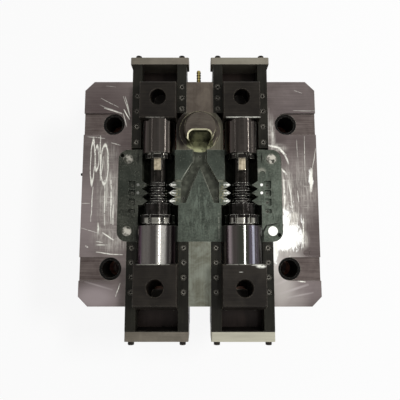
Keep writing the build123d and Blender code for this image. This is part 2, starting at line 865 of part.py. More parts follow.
def slide_block(station):
    """Sliding block with its heel, tongues, leaning angle-pin bore and the seat for its core."""
    half = station.block_w / 2
    top = parting + station.block_top
    top_end = station.block_front + station.block_len
    body = side_profile([(station.block_front, station.base_z), (station.block_front, top), (top_end, top),
                         (station.heel_y, parting), (station.heel_y, station.base_z)],
                        cavity_x - half, cavity_x + half)
    body = chamfer(body.faces().sort_by(Axis.Z)[-1].edges(), block_chamfer)
    tongue = half + block_tongue
    body = body + slab(cavity_x - tongue, cavity_x + tongue, station.block_front, station.heel_y, station.base_z,
                       station.base_z + tongue_h)
    radius = station.pin_bore_d / 2
    lean = Rot(pin_lean, 0, 0)
    length = 2 * (station.block_top + station.base_depth)
    mouth = Pos(cavity_x, station.pin_bore_y, top) * lean
    body = body - mouth * Cylinder(radius, length)
    body = chamfer(body.faces().sort_by(Axis.Z)[-1].inner_wires().edges(), pin_bore_chamfer)
    cuts = [rod(cavity_x, parting, station.block_front - past, station.block_front + spigot_len + screw_gap,
                spigot_d + 2 * pin_gap)]
    recess = core_screw_d + head_sink + past
    cuts += placed(screw_hole(core_screw_d, core_grip(station), recess), core_screw_places(station))
    return drilled(body, cuts)


def crown_slots(y0, y1, d):
    """Slots that cut a core's collar into a ring of bars."""
    inner = d / 2 - crown_slot_depth
    slot = slab(-crown_slot_w / 2, crown_slot_w / 2, y0, y1, inner, d)
    turns = [Rot(0, (index + 0.5) * 360 / crown_bars, 0) * slot for index in range(crown_bars)]
    return [Pos(cavity_x, 0, parting) * turn for turn in turns]


def core_root(station):
    """Points of a core's seat on its block and of the spigot behind it."""
    return [(station.core_d / 2, station.block_front), (spigot_d / 2, station.block_front),
            (spigot_d / 2, station.block_front + spigot_len), (0, station.block_front + spigot_len)]


def rear_crown_y():
    """Front end of the rear core's slotted collar."""
    return rear_shoulder_y - rear_crown_len


def rear_key_box(gap):
    """The key's box on top of the rear core's neck, grown by a gap."""
    top = parting + rear_neck_d / 2 - key_sink
    return slab(cavity_x - key_w / 2 - gap, cavity_x + key_w / 2 + gap, rear_crown_y() - key_len - gap,
                rear_crown_y() + gap, top - gap, top + key_t)


def rear_core():
    """Rear core: stepped, with a slotted collar and a key seat on its neck."""
    neck = rear_neck_d / 2
    crown = rear_crown_d / 2
    points = [(0, rear_tip_y), (neck - tip_chamfer, rear_tip_y), (neck, rear_tip_y + tip_chamfer),
              (neck, rear_crown_y()), (crown, rear_crown_y()), (crown, rear_shoulder_y),
              (REAR.core_d / 2 - tip_chamfer, rear_shoulder_y),
              (REAR.core_d / 2, rear_shoulder_y + tip_chamfer)] + core_root(REAR)
    slots = crown_slots(rear_crown_y(), rear_shoulder_y, rear_crown_d)
    body = drilled(turned_y(points, cavity_x, parting), slots)
    body = body - rear_key_box(fit_gap)
    return drilled(body, placed(screw_hole(core_screw_d, core_grip(REAR), 0), core_screw_places(REAR)))


def front_core():
    """Front core: stepped, with a slotted collar and a ringed nose that meets the rear core."""
    neck = front_neck_d / 2
    crown = front_crown_d / 2
    crown_end = front_shoulder_y - front_crown_gap
    tip = tip_gap - rear_tip_y
    pitch = (front_neck_end_y - tip) / front_ring_count
    points = [(0, tip)]
    for index in range(front_ring_count):
        start = tip + index * pitch
        points += [(front_ring_d / 2, start), (front_ring_d / 2, start + pitch / 2),
                   (front_groove_d / 2, start + pitch / 2), (front_groove_d / 2, start + pitch)]
    points += [(neck, front_neck_end_y), (neck, crown_end - front_crown_len), (crown, crown_end - front_crown_len),
               (crown, crown_end), (neck, crown_end), (neck, front_shoulder_y),
               (FRONT.core_d / 2 - tip_chamfer, front_shoulder_y),
               (FRONT.core_d / 2, front_shoulder_y + tip_chamfer)] + core_root(FRONT)
    body = drilled(turned_y(points, cavity_x, parting),
                   crown_slots(crown_end - front_crown_len, crown_end, front_crown_d))
    return drilled(body, placed(screw_hole(core_screw_d, core_grip(FRONT), 0), core_screw_places(FRONT)))


# The stack behind the holder block

def stack_outline(z0, z1):
    """The mould's chamfered plan between two heights."""
    body = slab(-plate_w / 2, plate_w / 2, -plate_d / 2, plate_d / 2, z0, z1)
    return chamfer(body.edges().filter_by(Axis.Z), corner_chamfer)


def spacer(side):
    """Spacer bar beside the ejector plates."""
    inner = plate_w / 2 - spacer_w
    bar = slab(inner, plate_w / 2, -plate_d / 2, plate_d / 2, base_t, spacer_top)
    body = in_place(bar, side, 1) & stack_outline(base_t, spacer_top)
    return drilled(body, placed(screw_hole(base_screw_d, base_grip, 0), base_screw_places()))


def base_plate():
    """Clamping plate, wider than the mould for its clamps, with the knockout holes."""
    half = plate_w / 2 + base_overhang
    body = slab(-half, half, -plate_d / 2, plate_d / 2, 0, base_t)
    body = chamfer(body.edges().filter_by(Axis.Z), corner_chamfer)
    body = chamfer(body.faces().sort_by(Axis.Z)[0].edges(), base_edge_chamfer)
    cuts = placed(screw_hole(base_screw_d, base_grip, base_screw_d + head_sink + past), base_screw_places())
    cuts += [post(0, side * knockout_y, -1, base_t + past, knockout_d) for side in (-1, 1)]
    cuts += [post(x, y, base_t - guide_pin_socket, base_t + past, guide_pin_d + 2 * pin_gap)
             for x, y in guide_pin_places()]
    return drilled(body, cuts)


def base_screws():
    """Long screws through base plate and spacers."""
    return joined(placed(cap_screw(base_screw_d, base_grip), base_screw_places()))


def pillar_places():
    """(x, y) of the support pillars under the cavities."""
    return four_corners(pillar_x, pillar_y, pillar_y)


def support_pillars():
    """Pillars that hold the holder block up over the ejector space."""
    return joined([post(x, y, base_t, spacer_top, pillar_d) for x, y in pillar_places()])


def ejector_guide_pins():
    """Pins between base plate and holder that guide the ejector plates."""
    return joined([post(x, y, base_t - guide_pin_socket, spacer_top + guide_pin_socket, guide_pin_d)
                   for x, y in guide_pin_places()])


def stop_buttons():
    """Buttons that the ejector plate rests on."""
    places = four_corners(stop_x, stop_y, stop_y)
    return joined([post(x, y, base_t, base_t + stop_h, stop_d) for x, y in places])


def guide_bush_holes(z0, z1):
    """Holes for the ejector guide bushes."""
    wide = guide_pin_d + 2 * (guide_bush_wall + pin_gap)
    return [post(x, y, z0, z1, wide) for x, y in guide_pin_places()]


def ejector_guide_bushes():
    """Flanged bushes of the ejector plates, running on the guide pins."""
    bore = guide_pin_d / 2 + guide_pin_gap
    outer = guide_pin_d / 2 + guide_bush_wall
    joint = base_t + stop_h + ejector_plate_t
    flange = outer + guide_bush_flange
    points = [(bore, joint - ejector_plate_t), (outer, joint - ejector_plate_t), (outer, joint), (flange, joint),
              (flange, joint + guide_bush_flange), (outer, joint + guide_bush_flange), (outer, joint + retainer_t),
              (bore, joint + retainer_t)]
    return joined([turned_z(points, x, y) for x, y in guide_pin_places()])


def ejector_level(z0, z1):
    """One plate of the ejector package, with its clearances round the pillars."""
    body = slab(-ejector_plate_w / 2, ejector_plate_w / 2, -ejector_plate_d / 2, ejector_plate_d / 2, z0, z1)
    cuts = [post(x, y, z0 - past, z1 + past, pillar_d + 2 * pillar_gap) for x, y in pillar_places()]
    return drilled(body, cuts + guide_bush_holes(z0 - past, z1 + past))


def ejector_plate():
    """Lower ejector plate, pushed by the machine's knockout rods."""
    bottom = base_t + stop_h
    body = ejector_level(bottom, bottom + ejector_plate_t)
    recess = ejector_screw_d + head_sink + past
    return drilled(body, placed(screw_hole(ejector_screw_d, ejector_grip, recess), ejector_screw_places()))


def retainer_plate():
    """Upper ejector plate, which holds the heads of the pins."""
    bottom = base_t + stop_h + ejector_plate_t
    body = ejector_level(bottom, bottom + retainer_t)
    cuts = placed(screw_hole(ejector_screw_d, ejector_grip, 0), ejector_screw_places())
    cuts += pin_holes(bottom - past, bottom + retainer_t + past)
    cuts += pin_holes(bottom - past, bottom + pin_head_h + pin_gap, pin_head_extra)
    wide = guide_pin_d + 2 * (guide_bush_wall + guide_bush_flange + pin_gap)
    seat = bottom + guide_bush_flange + pin_gap
    cuts += [post(x, y, bottom - past, seat, wide) for x, y in guide_pin_places()]
    return drilled(body, cuts)


def headed_pin(x, y, d, top):
    """A pin with its head in the retainer plate and its end at the given height."""
    bottom = base_t + stop_h + ejector_plate_t
    return post(x, y, bottom, top, d) + post(x, y, bottom, bottom + pin_head_h, d + pin_head_extra)


def return_pins():
    """Pins that push the ejector plates back as the mould closes."""
    return joined([headed_pin(x, y, return_pin_d, parting) for x, y in return_pin_places()])


def ejector_pins():
    """Pins that lift the casting by its overflows and runner."""
    return joined([headed_pin(x, y, ejector_pin_d, top) for x, y, top in ejector_pin_places()])


def ejector_screws():
    """Screws between ejector plate and retainer."""
    return joined(placed(cap_screw(ejector_screw_d, ejector_grip), ejector_screw_places()))


def hose_nipple():
    """Barbed brass nipple of the cooling circuit, screwed into the holder's rear."""
    y0 = plate_d / 2
    radius = nipple_d / 2
    barb_start = y0 + nipple_hex_t
    pitch = (nipple_len - nipple_hex_t) / nipple_barbs
    points = [(nipple_bore_d / 2, y0 - nipple_thread_len), (radius, y0 - nipple_thread_len), (radius, barb_start)]
    for index in range(nipple_barbs):
        start = barb_start + index * pitch
        points += [(radius + nipple_barb, start + pitch / 4), (radius - nipple_barb, start + pitch)]
    points.append((nipple_bore_d / 2, y0 + nipple_len))
    height = parting - nipple_drop
    seat = Plane((nipple_x, barb_start, height), x_dir=(1, 0, 0), z_dir=(0, -1, 0))
    flats = seat * RegularPolygon(nipple_hex / 2, 6)
    nut = extrude(flats, nipple_hex_t) - rod(nipple_x, height, y0 - 1, barb_start + 1, nipple_d - 1)
    return turned_y(points, nipple_x, height) + nut


def all_stations():
    """Name, side, row and sizes of each of the four slide stations."""
    return [(f"{row_name}_{side_name}", side, station.row, station)
            for row_name, station in ROWS.items() for side_name, side in SIDES.items()]


def station_screws(d, grip, places, head_h=None):
    """One kind of screw at all four stations, as one group."""
    screws = []
    for _, side, row, station in all_stations():
        screw = cap_screw(d, grip(station), head_h)
        screws += [in_place(shape, side, row) for shape in placed(screw, places(station))]
    return joined(screws)


def station_nodes():
    """Every named piece that repeats at the four slide stations."""
    nodes = {}
    for name, side, row, station in all_stations():
        rear = row > 0
        pieces = {
            f"gib_{name}_inner": gib(station, True),
            f"gib_{name}_outer": gib(station, False),
            f"wear_plate_{name}": wear_plate(station),
            f"bracket_{name}": bracket(station),
            f"end_plate_{name}": end_plate(station),
            f"slide_block_{name}": slide_block(station),
            f"core_{name}": rear_core() if rear else front_core(),
        }
        if rear:
            pieces[f"core_key_{name}"] = rear_key_box(0)
        nodes.update({node: in_place(shape, side, row) for node, shape in pieces.items()})
        screws = placed(cap_screw(core_screw_d, core_grip(station)), core_screw_places(station))
        nodes[f"core_screws_{name}"] = joined([in_place(screw, side, row) for screw in screws])
    return nodes


def all_nodes():
    """Every sub-part of the mould half, by name."""
    nodes = {
        "holder_block": holder_block(),
        "cavity_insert": cavity_insert(),
        "insert_screws": insert_screws(),
        "spreader": spreader(),
        "hose_nipple": hose_nipple(),
        "base_plate": base_plate(),
        "base_screws": base_screws(),
        "support_pillars": support_pillars(),
        "ejector_guide_pins": ejector_guide_pins(),
        "ejector_guide_bushes": ejector_guide_bushes(),
        "stop_buttons": stop_buttons(),
        "ejector_plate": ejector_plate(),
        "retainer_plate": retainer_plate(),
        "return_pins": return_pins(),
        "ejector_pins": ejector_pins(),
        "ejector_screws": ejector_screws(),
        "gib_screws": station_screws(gib_screw_d, gib_grip, gib_screw_places),
        "bracket_screws": station_screws(bracket_screw_d, bracket_grip, bracket_screw_places),
        "end_plate_screws": station_screws(end_screw_d, end_grip, end_screw_places),
        "wear_screws": station_screws(wear_screw_d, lambda station: wear_grip, wear_screw_places, wear_screw_head),
    }
    for name, side in SIDES.items():
        nodes[f"spacer_{name}"] = spacer(side)
    for name, (x, y) in bush_places().items():
        nodes[f"guide_bush_{name}"] = guide_bush(x, y)
    nodes.update(station_nodes())
    return nodes


os.makedirs("parts", exist_ok=True)
for node, shape in all_nodes().items():
    shape.label = node
    export_step(shape, f"parts/{node}.step")
    print(node, len(shape.solids()), round(shape.volume))
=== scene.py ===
"""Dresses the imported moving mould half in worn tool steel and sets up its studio."""

import json
import logging
from dataclasses import dataclass, field
from enum import Enum
from functools import reduce
from math import pi, radians
from typing import ClassVar, Iterable, Sequence, Union

import bpy
from mathutils import Matrix, Vector


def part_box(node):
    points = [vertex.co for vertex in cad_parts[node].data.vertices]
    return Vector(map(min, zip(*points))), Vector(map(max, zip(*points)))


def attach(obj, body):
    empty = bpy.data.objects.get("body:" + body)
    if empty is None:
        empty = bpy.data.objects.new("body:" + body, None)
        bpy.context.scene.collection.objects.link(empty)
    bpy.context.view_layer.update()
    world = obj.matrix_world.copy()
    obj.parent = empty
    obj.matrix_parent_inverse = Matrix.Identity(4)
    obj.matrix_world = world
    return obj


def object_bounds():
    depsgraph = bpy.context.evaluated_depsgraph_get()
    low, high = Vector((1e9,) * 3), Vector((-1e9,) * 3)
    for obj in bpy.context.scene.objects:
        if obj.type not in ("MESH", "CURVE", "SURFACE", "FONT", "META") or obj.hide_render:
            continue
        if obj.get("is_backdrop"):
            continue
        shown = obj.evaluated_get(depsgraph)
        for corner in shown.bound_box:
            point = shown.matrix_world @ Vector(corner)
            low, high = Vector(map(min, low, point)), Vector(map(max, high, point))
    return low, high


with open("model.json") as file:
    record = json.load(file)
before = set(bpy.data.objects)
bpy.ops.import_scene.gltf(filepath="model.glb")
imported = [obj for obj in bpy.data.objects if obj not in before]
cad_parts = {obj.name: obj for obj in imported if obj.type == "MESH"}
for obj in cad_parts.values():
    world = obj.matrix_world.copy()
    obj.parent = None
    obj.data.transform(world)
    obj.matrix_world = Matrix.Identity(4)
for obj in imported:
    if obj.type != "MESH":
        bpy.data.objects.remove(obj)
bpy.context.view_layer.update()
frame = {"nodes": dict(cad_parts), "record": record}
MM = 0.001
FLATTEN = (1.0, 1.0, 0.0)

log = logging.getLogger("mould")

Colour = tuple[float, float, float]
Tones = tuple[Colour, Colour]
Span = tuple[float, float]
Value = Union["Sock", float, int, tuple]


def shade(red: int, green: int, blue: int) -> Colour:
    """Turns a paint-chart colour of 0 to 255 into linear light.

    Args:
        red: Red part.
        green: Green part.
        blue: Blue part.

    Returns:
        The same colour in linear light.
    """
    parts = (part / 255 for part in (red, green, blue))
    return tuple(
        part / 12.92 if part <= 0.04045 else ((part + 0.055) / 1.055) ** 2.4 for part in parts)


class Grain(Enum):
    """Way that the grinding lines of a surface run, as the stretch of their noise."""

    ALONG_X = (12.0, 900.0, 900.0)
    ALONG_Y = (900.0, 12.0, 900.0)
    ROUND = (40.0, 900.0, 40.0)
    CAST = (260.0, 260.0, 260.0)


class Sock:
    """Output of a shader node; Python's operators on it add Math nodes."""

    def __init__(self, graph: "Graph", link: bpy.types.NodeSocket) -> None:
        """Keeps the graph and the output that it wraps."""
        self.graph = graph
        self.link = link

    def maths(self, operation: str, *others: Value) -> "Sock":
        """Adds one Math node.

        Args:
            operation: Name of the Math node's operation.
            others: Second and third operands.

        Returns:
            The node's output.
        """
        return self.graph.node("ShaderNodeMath", {"operation": operation}, (self, *others))

    def __add__(self, other: Value) -> "Sock":
        """Sum."""
        return self.maths("ADD", other)

    def __sub__(self, other: Value) -> "Sock":
        """Difference."""
        return self.maths("SUBTRACT", other)

    def __rsub__(self, other: float) -> "Sock":
        """Number less this."""
        return self.graph.node("ShaderNodeMath", {"operation": "SUBTRACT"}, (other, self))

    def __mul__(self, other: Value) -> "Sock":
        """Product."""
        return self.maths("MULTIPLY", other)

    def __truediv__(self, other: Value) -> "Sock":
        """Quotient."""
        return self.maths("DIVIDE", other)

    def __abs__(self) -> "Sock":
        """Size without sign."""
        return self.maths("ABSOLUTE")

    __radd__ = __add__
    __rmul__ = __mul__

    def least(self, other: Value) -> "Sock":
        """Smaller of the two."""
        return self.maths("MINIMUM", other)

    def most(self, other: Value) -> "Sock":
        """Larger of the two."""
        return self.maths("MAXIMUM", other)

    def rise(self, start: float, end: float) -> "Sock":
        """Soft step.

        Args:
            start: Value that gives 0.
            end: Value that gives 1; it may lie below start.

        Returns:
            0 to 1, clamped at both ends.
        """
        if start > end:
            return 1 - self.rise(end, start)
        return self.graph.node("ShaderNodeMapRange", {"interpolation_type": "SMOOTHSTEP"},
                               (self, start, end, 0.0, 1.0))


class Graph:
    """Node tree of one material, with the patterns that its finishes share."""

    def __init__(self, name: str) -> None:
        """Starts an empty material of that name."""
        self.material = bpy.data.materials.new(name)
        self.material.use_nodes = True
        self.tree = self.material.node_tree
        self.tree.nodes.clear()
        self.place = self.node("ShaderNodeTexCoord", {}, {}, "Object")
        split = self.node("ShaderNodeSeparateXYZ", {}, (self.place,), "X")
        outputs = split.link.node.outputs
        self.x, self.y, self.z = split, Sock(self, outputs["Y"]), Sock(self, outputs["Z"])

    def node(self, kind: str, settings: dict, inputs: Union[dict, Sequence[Value]],
             output: Union[int, str] = 0) -> Sock:
        """Adds any node.

        Args:
            kind: The node's type.
            settings: Its own settings.
            inputs: Values or links of its sockets, in order or by name or number.
            output: Which output to return.

        Returns:
            The wanted output.
        """
        made = self.tree.nodes.new(kind)
        for name, value in settings.items():
            setattr(made, name, value)
        pairs = inputs.items() if isinstance(inputs, dict) else enumerate(inputs)
        for key, value in pairs:
            self.plug(made.inputs[key], value)
        return Sock(self, made.outputs[output])

    def plug(self, socket: bpy.types.NodeSocket, value: Value) -> None:
        """Links or sets one input.

        Args:
            socket: The input.
            value: Another node's output, a number, a colour or a vector.
        """
        if isinstance(value, Sock):
            self.tree.links.new(value.link, socket)
        elif socket.type == "RGBA":
            socket.default_value = (*value, 1.0)
        else:
            socket.default_value = value

    def mix(self, factor: Value, first: Value, second: Value) -> Sock:
        """Blends two colours.

        Args:
            factor: 0 for the first, 1 for the second.
            first: Colour at 0.
            second: Colour at 1.

        Returns:
            The blended colour.
        """
        return self.node("ShaderNodeMix", {"data_type": "RGBA"},
                         {0: factor, 6: first, 7: second}, 2)

    def vector(self, operation: str, *values: Value, output: Union[int, str] = 0) -> Sock:
        """Adds one Vector Math node.

        Args:
            operation: Name of its operation.
            values: Its inputs, in order.
            output: Which output to return.

        Returns:
            The wanted output.
        """
        return self.node("ShaderNodeVectorMath", {"operation": operation}, values, output)

    def flat(self) -> Sock:
        """Place on the surface, with its height set to 0."""
        return self.vector("MULTIPLY", self.place, FLATTEN)

    def noise(self, stretch: Union[float, Sequence[float]], detail: float = 3.0,
              rough: float = 0.55, twist: float = 0.0, shift: float = 0.0) -> Sock:
        """Noise over the object.

        Args:
            stretch: Waves per metre, the same all ways or along X, Y and Z.
            detail: Octaves.
            rough: Strength of the finer octaves.
            twist: Distortion.
            shift: Moves the pattern, so that two finishes differ.

        Returns:
            Values round 0.5.
        """
        scale = (stretch,) * 3 if isinstance(stretch, float) else tuple(stretch)
        mapped = self.node("ShaderNodeMapping", {},
                           {"Vector": self.place, "Location": (shift,) * 3, "Scale": scale})
        return self.node("ShaderNodeTexNoise", {},
                         {"Vector": mapped, "Scale": 1.0, "Detail": detail, "Roughness": rough,
                          "Distortion": twist})

    def wander(self, reach: float, waves: float) -> Sock:
        """Place on the surface, moved a little by noise, for lines drawn by hand.

        Args:
            reach: Furthest that a point moves, in metres.
            waves: Waves per metre.

        Returns:
            The moved place with its height set to 0.
        """
        noise = self.node("ShaderNodeTexNoise", {},
                          {"Vector": self.place, "Scale": waves, "Detail": 2.0}, "Color")
        centred = self.vector("SUBTRACT", noise, (0.5, 0.5, 0.5))
        moved = self.vector("MULTIPLY_ADD", centred, (2 * reach,) * 3, self.place)
        return self.vector("MULTIPLY", moved, FLATTEN)

    def edges(self, radius: float, start: float, end: float) -> Sock:
        """Mask of the sharp edges, where handling has polished the steel and a painted highlight
        brightens it.

        Args:
            radius: Distance from the edge that the mask covers, in metres.
            start: Turn of the surface at which the mask begins.
            end: Turn of the surface at which it is full.

        Returns:
            1 on an edge, 0 on a flat.
        """
        rounded = self.node("ShaderNodeBevel", {"samples": 6}, {"Radius": radius})
        flat = self.node("ShaderNodeNewGeometry", {}, {}, "Normal")
        turn = 1 - self.vector("DOT_PRODUCT", rounded, flat, output="Value")
        return turn.rise(start, end)

    def bump(self, height: Value, depth: float) -> Sock:
        """Bump from a height.

        Args:
            height: Height, 0 to 1.
            depth: Depth of the relief, in metres.

        Returns:
            The bent normal.
        """
        return self.node("ShaderNodeBump", {},
                         {"Strength": 1.0, "Distance": depth, "Height": height})

    def surface(self, colour: Value, rough: Value, metal: Value, normal: Sock,
                gloss: float) -> bpy.types.Material:
        """Closes the tree with its shader.

        Args:
            colour: Base colour.
            rough: Roughness.
            metal: Metallic share.
            normal: Bent normal.
            gloss: Specular level of what isn't metal.

        Returns:
            The finished material.
        """
        self.node_out(self.node(
            "ShaderNodeBsdfPrincipled", {},
            {"Base Color": colour, "Roughness": rough, "Metallic": metal,
             "Specular IOR Level": gloss, "Normal": normal}))
        return self.material

    def node_out(self, shader: Sock) -> None:
        """Links the shader to the material's output."""
        out = self.tree.nodes.new("ShaderNodeOutputMaterial")
        self.tree.links.new(shader.link, out.inputs["Surface"])


def line(gap: Sock, width: float) -> Sock:
    """Profile of a drawn line.

    Args:
        gap: Distance from the line's middle, in metres.
        width: The line's full width, in millimetres.

    Returns:
        1 along the middle, 0 beyond the edge.
    """
    return gap.rise(width * MM / 2, width * MM / 8)


class Mark:
    """What is drawn on a flat face, in millimetres seen from above."""

    def mask(self, graph: Graph, place: Sock) -> Sock:
        """Mask of the mark.

        Args:
            graph: Graph to add it to.
            place: Place on the face.

        Returns:
            The mark's strength on it, 0 away from it.
        """
        raise NotImplementedError


@dataclass(frozen=True)
class Stroke(Mark):
    """Straight grinder mark, weaker towards its ends."""

    x0: float
    y0: float
    x1: float
    y1: float
    width: float = 2.0
    strength: float = 0.8

    peak: ClassVar[float] = 1.3
    fade: ClassVar[float] = 1.1

    def mask(self, graph: Graph, place: Sock) -> Sock:
        """Mask of the stroke."""
        start = (self.x0 * MM, self.y0 * MM, 0.0)
        run = Vector(((self.x1 - self.x0) * MM, (self.y1 - self.y0) * MM, 0.0))
        off = graph.vector("SUBTRACT", place, start)
        along = graph.vector("DOT_PRODUCT", off, tuple(run), output="Value") / run.length_squared
        along = along.most(0.0).least(1.0)
        nearest = graph.node("ShaderNodeVectorMath", {"operation": "SCALE"},
                             {0: tuple(run), "Scale": along})
        gap = graph.vector("DISTANCE", off, nearest, output="Value")
        taper = 1 - abs(along - 0.5) * self.fade
        return line(gap, self.width) * taper * (self.peak * self.strength)


@dataclass(frozen=True)
class Oval(Mark):
    """Mark laid out by an oval."""

    x: float
    y: float
    half_x: float
    half_y: float

    def reach(self, graph: Graph, place: Sock) -> Sock:
        """Distance from the oval's middle: 0 there, 1 on the oval."""
        off = graph.vector("SUBTRACT", place, (self.x * MM, self.y * MM, 0.0))
        halves = (1 / (self.half_x * MM), 1 / (self.half_y * MM), 0.0)
        return graph.vector("LENGTH", graph.vector("MULTIPLY", off, halves), output="Value")


@dataclass(frozen=True)
class Loop(Oval):
    """Long oval grinder mark."""

    width: float = 2.0
    strength: float = 0.9

    def mask(self, graph: Graph, place: Sock) -> Sock:
        """Mask of the oval's line."""
        gap = abs(self.reach(graph, place) - 1) * (self.half_x * MM)
        return line(gap, self.width) * self.strength


@dataclass(frozen=True)
class Patch(Oval):
    """Soft oval area."""

    strength: float = 1.0

    full_to: ClassVar[float] = 0.2

    def mask(self, graph: Graph, place: Sock) -> Sock:
        """Mask of the area, falling to 0 at its rim."""
        return self.reach(graph, place).rise(1.0, self.full_to) * self.strength


def painted(graph: Graph, place: Sock, marks: Iterable[Mark]) -> Sock:
    """Joins several marks into one mask.

    Args:
        graph: Graph to add them to.
        place: Place on the face.
        marks: The marks.

    Returns:
        The strongest mark at each place.
    """
    return reduce(Sock.most, [mark.mask(graph, place) for mark in marks])


@dataclass(frozen=True)
class Coat:
    """Marks of one colour."""

    tone: Colour
    marks: tuple

    def over(self, graph: Graph, place: Sock, below: Sock, *shares: Value) -> Sock:
        """Lays the marks over a colour.

        Args:
            graph: Graph to add them to.
            place: Place on the face.
            below: Colour under them.
            shares: What their strength is multiplied by.

        Returns:
            The colour with the marks on it.
        """
        mask = painted(graph, place, self.marks)
        for share in shares:
            mask = mask * share
        return graph.mix(mask, below, self.tone)


@dataclass(frozen=True)
class Steel:
    """Worn tool steel: two tones in mottles, grinding lines, and polished edges that also carry a
    painted highlight.
    """

    name: str
    dark: Colour
    light: Colour
    # Colour of the polished edges; it also serves as a painted highlight along them.
    edge: Colour
    grain: Grain = Grain.CAST
    mottle: float = 22.0
    grain_share: float = 0.45
    rough: float = 0.42
    metal: float = 0.35
    wear: float = 0.6
    wear_width: float = 0.0006
    wear_gaps: float = 0.3
    relief: float = 0.00003
    shift: float = 0.0

    rough_spread: ClassVar[float] = 0.24
    gloss: ClassVar[float] = 0.12

    def tone(self, graph: Graph) -> Sock:
        """Share of the light tone, 0 to 1."""
        patches = graph.noise(self.mottle, detail=5.0, rough=0.6, twist=0.4, shift=self.shift)
        mottled = patches.rise(0.32, 0.68) * (1 - self.grain_share)
        return mottled + self.lines(graph) * self.grain_share

    def lines(self, graph: Graph) -> Sock:
        """Grinding lines, 0 to 1."""
        return graph.noise(self.grain.value, detail=2.0, shift=self.shift + 3.1).rise(0.3, 0.7)

    def colour(self, graph: Graph) -> Sock:
        """Colour of the steel before its edges are polished."""
        return graph.mix(self.tone(graph), self.dark, self.light)

    def roughness(self, graph: Graph) -> Sock:
        """Roughness, uneven by the finish's spread."""
        uneven = graph.noise(60.0, shift=self.shift + 5.0) * self.rough_spread
        return uneven + (self.rough - self.rough_spread / 2)

    def build(self) -> bpy.types.Material:
        """Makes the material."""
        graph = Graph(self.name)
        spots = graph.noise(180.0, shift=self.shift + 7.0)
        broken = spots.rise(self.wear_gaps, self.wear_gaps + 0.3)
        # Polished edges, also a painted highlight: the edge mask brightens the colour itself.
        wear_and_sheen = graph.edges(self.wear_width, 0.02, 0.25) * broken * self.wear
        colour = graph.mix(wear_and_sheen, self.colour(graph), self.edge)
        return graph.surface(colour, self.roughness(graph), self.metal,
                             graph.bump(self.lines(graph), self.relief), self.gloss)


